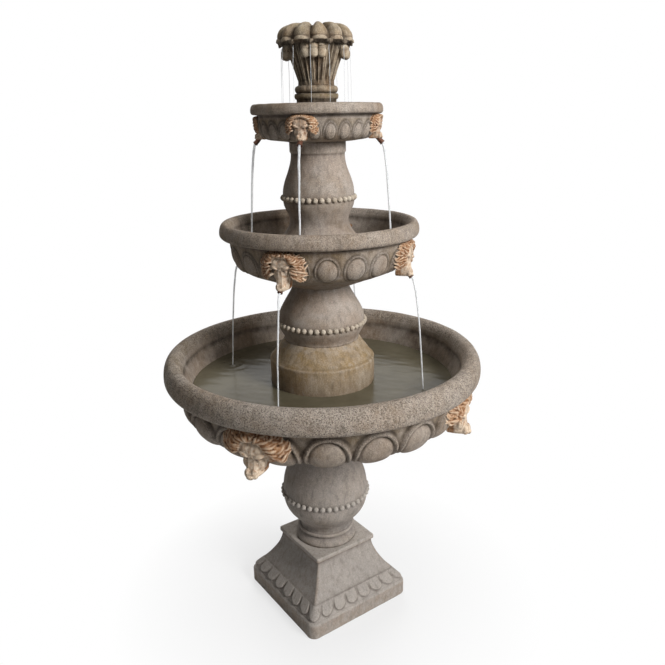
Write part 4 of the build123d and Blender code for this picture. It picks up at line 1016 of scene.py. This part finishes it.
def lions(tier, body, level, turn, bowl_r, lean, lion, fair, seed, voxel):
    me = lion_mesh(f"{tier}_lion", bowl_r, lean, lion, fair, seed, voxel)
    for k, bearing in enumerate(four(turn)):
        obj = new_object(f"{tier}_lion_head_{k + 1}", me)
        spin = Matrix.Rotation(radians(bearing), 4, "Z")
        obj.matrix_world = Matrix.Translation((0, 0, level * MM)) @ spin
        finish_piece(obj, body, "stone_lion", f"{tier}_lion_mask_{k + 1}")


lions("lower", "base", Z_BASIN + 131, LOWER_TURN, bowl_r=438, lean=0.05,
      lion=Lion(224, 68, 45, -22, -80, 208), fair=0.45, seed=4, voxel=1.5)
lions("middle", "middle_tier", Z_MIDDLE_BOWL + 105, MIDDLE_TURN, bowl_r=261, lean=0.1,
      lion=Lion(148, 47, 32, -6, -64, 280), fair=0.35, seed=5, voxel=1.15)
lions("top", "top_tier", Z_TOP_BOWL + 41, TOP_TURN, bowl_r=165, lean=0.12,
      lion=Lion(98, 33, 25, -3, -35, 256), fair=0.1, seed=6, voxel=0.8)


# Water
def pool(name, body, level, inner, outer, falls, seed):
    """A pool's surface with rings where the streams fall."""
    ring_h, ring_pitch, ring_reach = 1.6, 5.5, 28
    r, az = np.linspace(inner, outer, 60)[:, None], bearings(240)[None, :]
    x, y = r * np.cos(az), r * np.sin(az)
    z = 0.5 * wobble(seed, x / 18, y / 18)
    for fall_x, fall_y in falls:
        d = np.hypot(x - fall_x, y - fall_y)
        z = z + ring_h * np.cos(d / ring_pitch) * np.exp(-d / ring_reach)
    part = Part().grid(np.stack([x, y, level + z], -1)[:, ::-1])
    piece(name, part, POOL, body, "stone_bowl")


def falling(name, body, start_r, start_z, end_z, drift, turns, radius, seed):
    """Streams that drift outwards as they fall. Gives the places where they land."""
    part = Part()
    lands = []
    s = np.linspace(0, 1, 40)
    out = start_r + drift * s
    z = start_z + (end_z - start_z) * s ** 1.75
    for k, turn in enumerate(turns):
        ang = radians(turn)
        sway = 1.2 * wobble(seed + k, s * 6)
        thick = radius * (1.25 - 0.45 * s + 0.12 * wobble(seed + 50 + k, s * 25))
        part.grid(lock(swung(out, sway, z, ang), thick, 12))
        lands.append((out[-1] * cos(ang), out[-1] * sin(ang)))
    piece(name, part, STREAM, body, "stone_bowl")
    return lands


mid_falls = falling("top_streams", "top_tier", start_r=191, start_z=1541, end_z=Z_MIDDLE_POOL + 2,
                    drift=30, turns=four(TOP_TURN), radius=3.2, seed=1)
low_falls = falling("middle_streams", "middle_tier", start_r=290, start_z=1161,
                    end_z=Z_LOWER_POOL + 2, drift=43, turns=four(MIDDLE_TURN), radius=2.6, seed=2)
half_lobe = 180 / FINIAL_LOBES
valleys = [FINIAL_TURN + half_lobe * (2 * k + 1) for k in range(FINIAL_LOBES)]
threads = falling("cap_threads", "finial", start_r=97, start_z=1796, end_z=Z_TOP_POOL, drift=4,
                  turns=valleys, radius=0.6, seed=3)
pool("lower_pool", "base", Z_LOWER_POOL, inner=167, outer=416, falls=low_falls, seed=31)
pool("middle_pool", "middle_tier", Z_MIDDLE_POOL, inner=123, outer=236, falls=mid_falls, seed=32)
pool("top_pool", "top_tier", Z_TOP_POOL, inner=59, outer=152, falls=threads, seed=33)


# Spout ends, and the finishes of the solids that stay
def nozzles(name, body, start_r, start_z, turns):
    """Flared ends of the spouts, which slope down at 45 degrees."""
    along = np.array([-8, 3, 6, 7, 6, 3, -8, -8])[:, None]
    wide = np.array([6.8, 7.0, 7.9, 7.2, 6.0, 5.2, 5.2, 6.8])[:, None]
    q = bearings(20)[None, :]
    side, rise = wide * np.cos(q), wide * np.sin(q)
    out = start_r + (along + rise) * sin(pi / 4)
    z = start_z + (rise - along) * sin(pi / 4)
    part = Part()
    for turn in turns:
        part.grid(swung(out, side, z, radians(turn)))
    piece(name, part, FINISH["copper"], body, "copper", sharp_angle=40)


nozzles("top_spout_ends", "top_tier", 187, 1545, four(TOP_TURN))
nozzles("middle_spout_ends", "middle_tier", 285, 1166, four(MIDDLE_TURN))

for sub in frame["record"]["subparts"]:
    if sub["material_slot"] in FINISH:
        solid = frame["nodes"][sub["node"]]
        solid.data.materials.clear()
        solid.data.materials.append(FINISH[sub["material_slot"]])


# Stage, light and camera
def stage_floor():
    """White floor that keeps the shadow near the plinth and fades to plain white further out."""
    half = 40.0
    me = bpy.data.meshes.new("floor")
    me.from_pydata([(-half, -half, 0), (half, -half, 0), (half, half, 0), (-half, half, 0)],
                   [], [(0, 1, 2, 3)])
    s = Shader("floor_white")
    s.set(Base_Color=s.mix(s.noise(3, 2, 0.5), (0.60, 0.60, 0.60, 1), (0.62, 0.62, 0.62, 1)),
          Roughness=0.9, Specular_IOR_Level=0.1)
    glow = s.node("ShaderNodeEmission", None, Strength=1.0)
    far = s.node("ShaderNodeVectorMath", {"operation": "LENGTH"}, i0=s.place()).outputs["Value"]
    share = s.ramp(far, 0.25, 0.75, first=0.7)
    path = s.node("ShaderNodeLightPath").outputs
    seen = s.math("MAXIMUM", path["Is Camera Ray"], path["Is Transmission Ray"])
    mixed = s.node("ShaderNodeMixShader", None, i0=s.times(share, seen), i1=s.bsdf.outputs[0],
                   i2=glow.outputs[0])
    s.feed(s.tree.nodes["Material Output"].inputs["Surface"], mixed.outputs[0])
    me.materials.append(s.mat)
    obj = new_object("floor", me)


def world_light(ambient):
    """White where the camera sees it, in mirrors and through water, and a dim light elsewhere."""
    world = bpy.data.worlds.new("studio")
    bpy.context.scene.world = world
    world.use_nodes = True
    n = Nodes(world.node_tree)
    path = n.node("ShaderNodeLightPath").outputs
    seen = n.plus(n.plus(path["Is Camera Ray"], path["Is Glossy Ray"]), path["Is Transmission Ray"])
    back = n.tree.nodes["Background"]
    n.feed(back.inputs["Strength"], n.ramp(seen, 0.0, 1.0, first=ambient))
    back.inputs["Color"].default_value = (1, 1, 1, 1)


def lamp(name, place, target_z, size, power):
    """Round area lamp, aimed at a height on the fountain's axis."""
    data = bpy.data.lights.new(name, "AREA")
    data.shape, data.size, data.energy = "DISK", size, power
    obj = new_object(name, data)
    obj.location = place
    aim = Vector((0, 0, target_z)) - Vector(place)
    obj.rotation_euler = aim.to_track_quat("-Z", "Y").to_euler()
    return obj


def camera():
    distance, height, focal_px, picture_px, sensor = 1.994, 1.605, 657.8, 665, 36.0
    turn, yaw, pitch, roll = (radians(a) for a in (-34.4, 0.98, 17.93, -0.99))
    ahead = Vector((sin(yaw) * cos(pitch), cos(yaw) * cos(pitch), -sin(pitch)))
    right = Vector((cos(yaw), -sin(yaw), 0))
    up = right.cross(ahead)
    right, up = right * cos(roll) + up * sin(roll), up * cos(roll) - right * sin(roll)
    spin = Matrix.Rotation(turn, 3, "Z")
    axes = Matrix((spin @ right, spin @ up, -(spin @ ahead))).transposed()
    data = bpy.data.cameras.new("camera")
    data.sensor_fit, data.sensor_width = "HORIZONTAL", sensor
    data.lens = focal_px * sensor / picture_px
    data.clip_start, data.clip_end = 0.05, 200
    obj = new_object("camera", data)
    obj.matrix_world = Matrix.Translation(spin @ Vector((0, -distance, height))) @ axes.to_4x4()
    bpy.context.scene.camera = obj


stage_floor()
world_light(ambient=0.09)
lamp("key", (0.8, -3.6, 3.0), target_z=1.0, size=1.5, power=220)
lamp("overhead", (-0.4, -0.6, 4.8), target_z=1.0, size=2.6, power=36)
lamp("back", (2.1, 3.1, 2.3), target_z=1.0, size=2.4, power=110).visible_glossy = False
lamp("front_fill", (-1.4, -3.6, 1.6), target_z=0.9, size=2.4, power=6)
camera()
bpy.context.scene.view_settings.view_transform = "Standard"

bpy.context.view_layer.update()
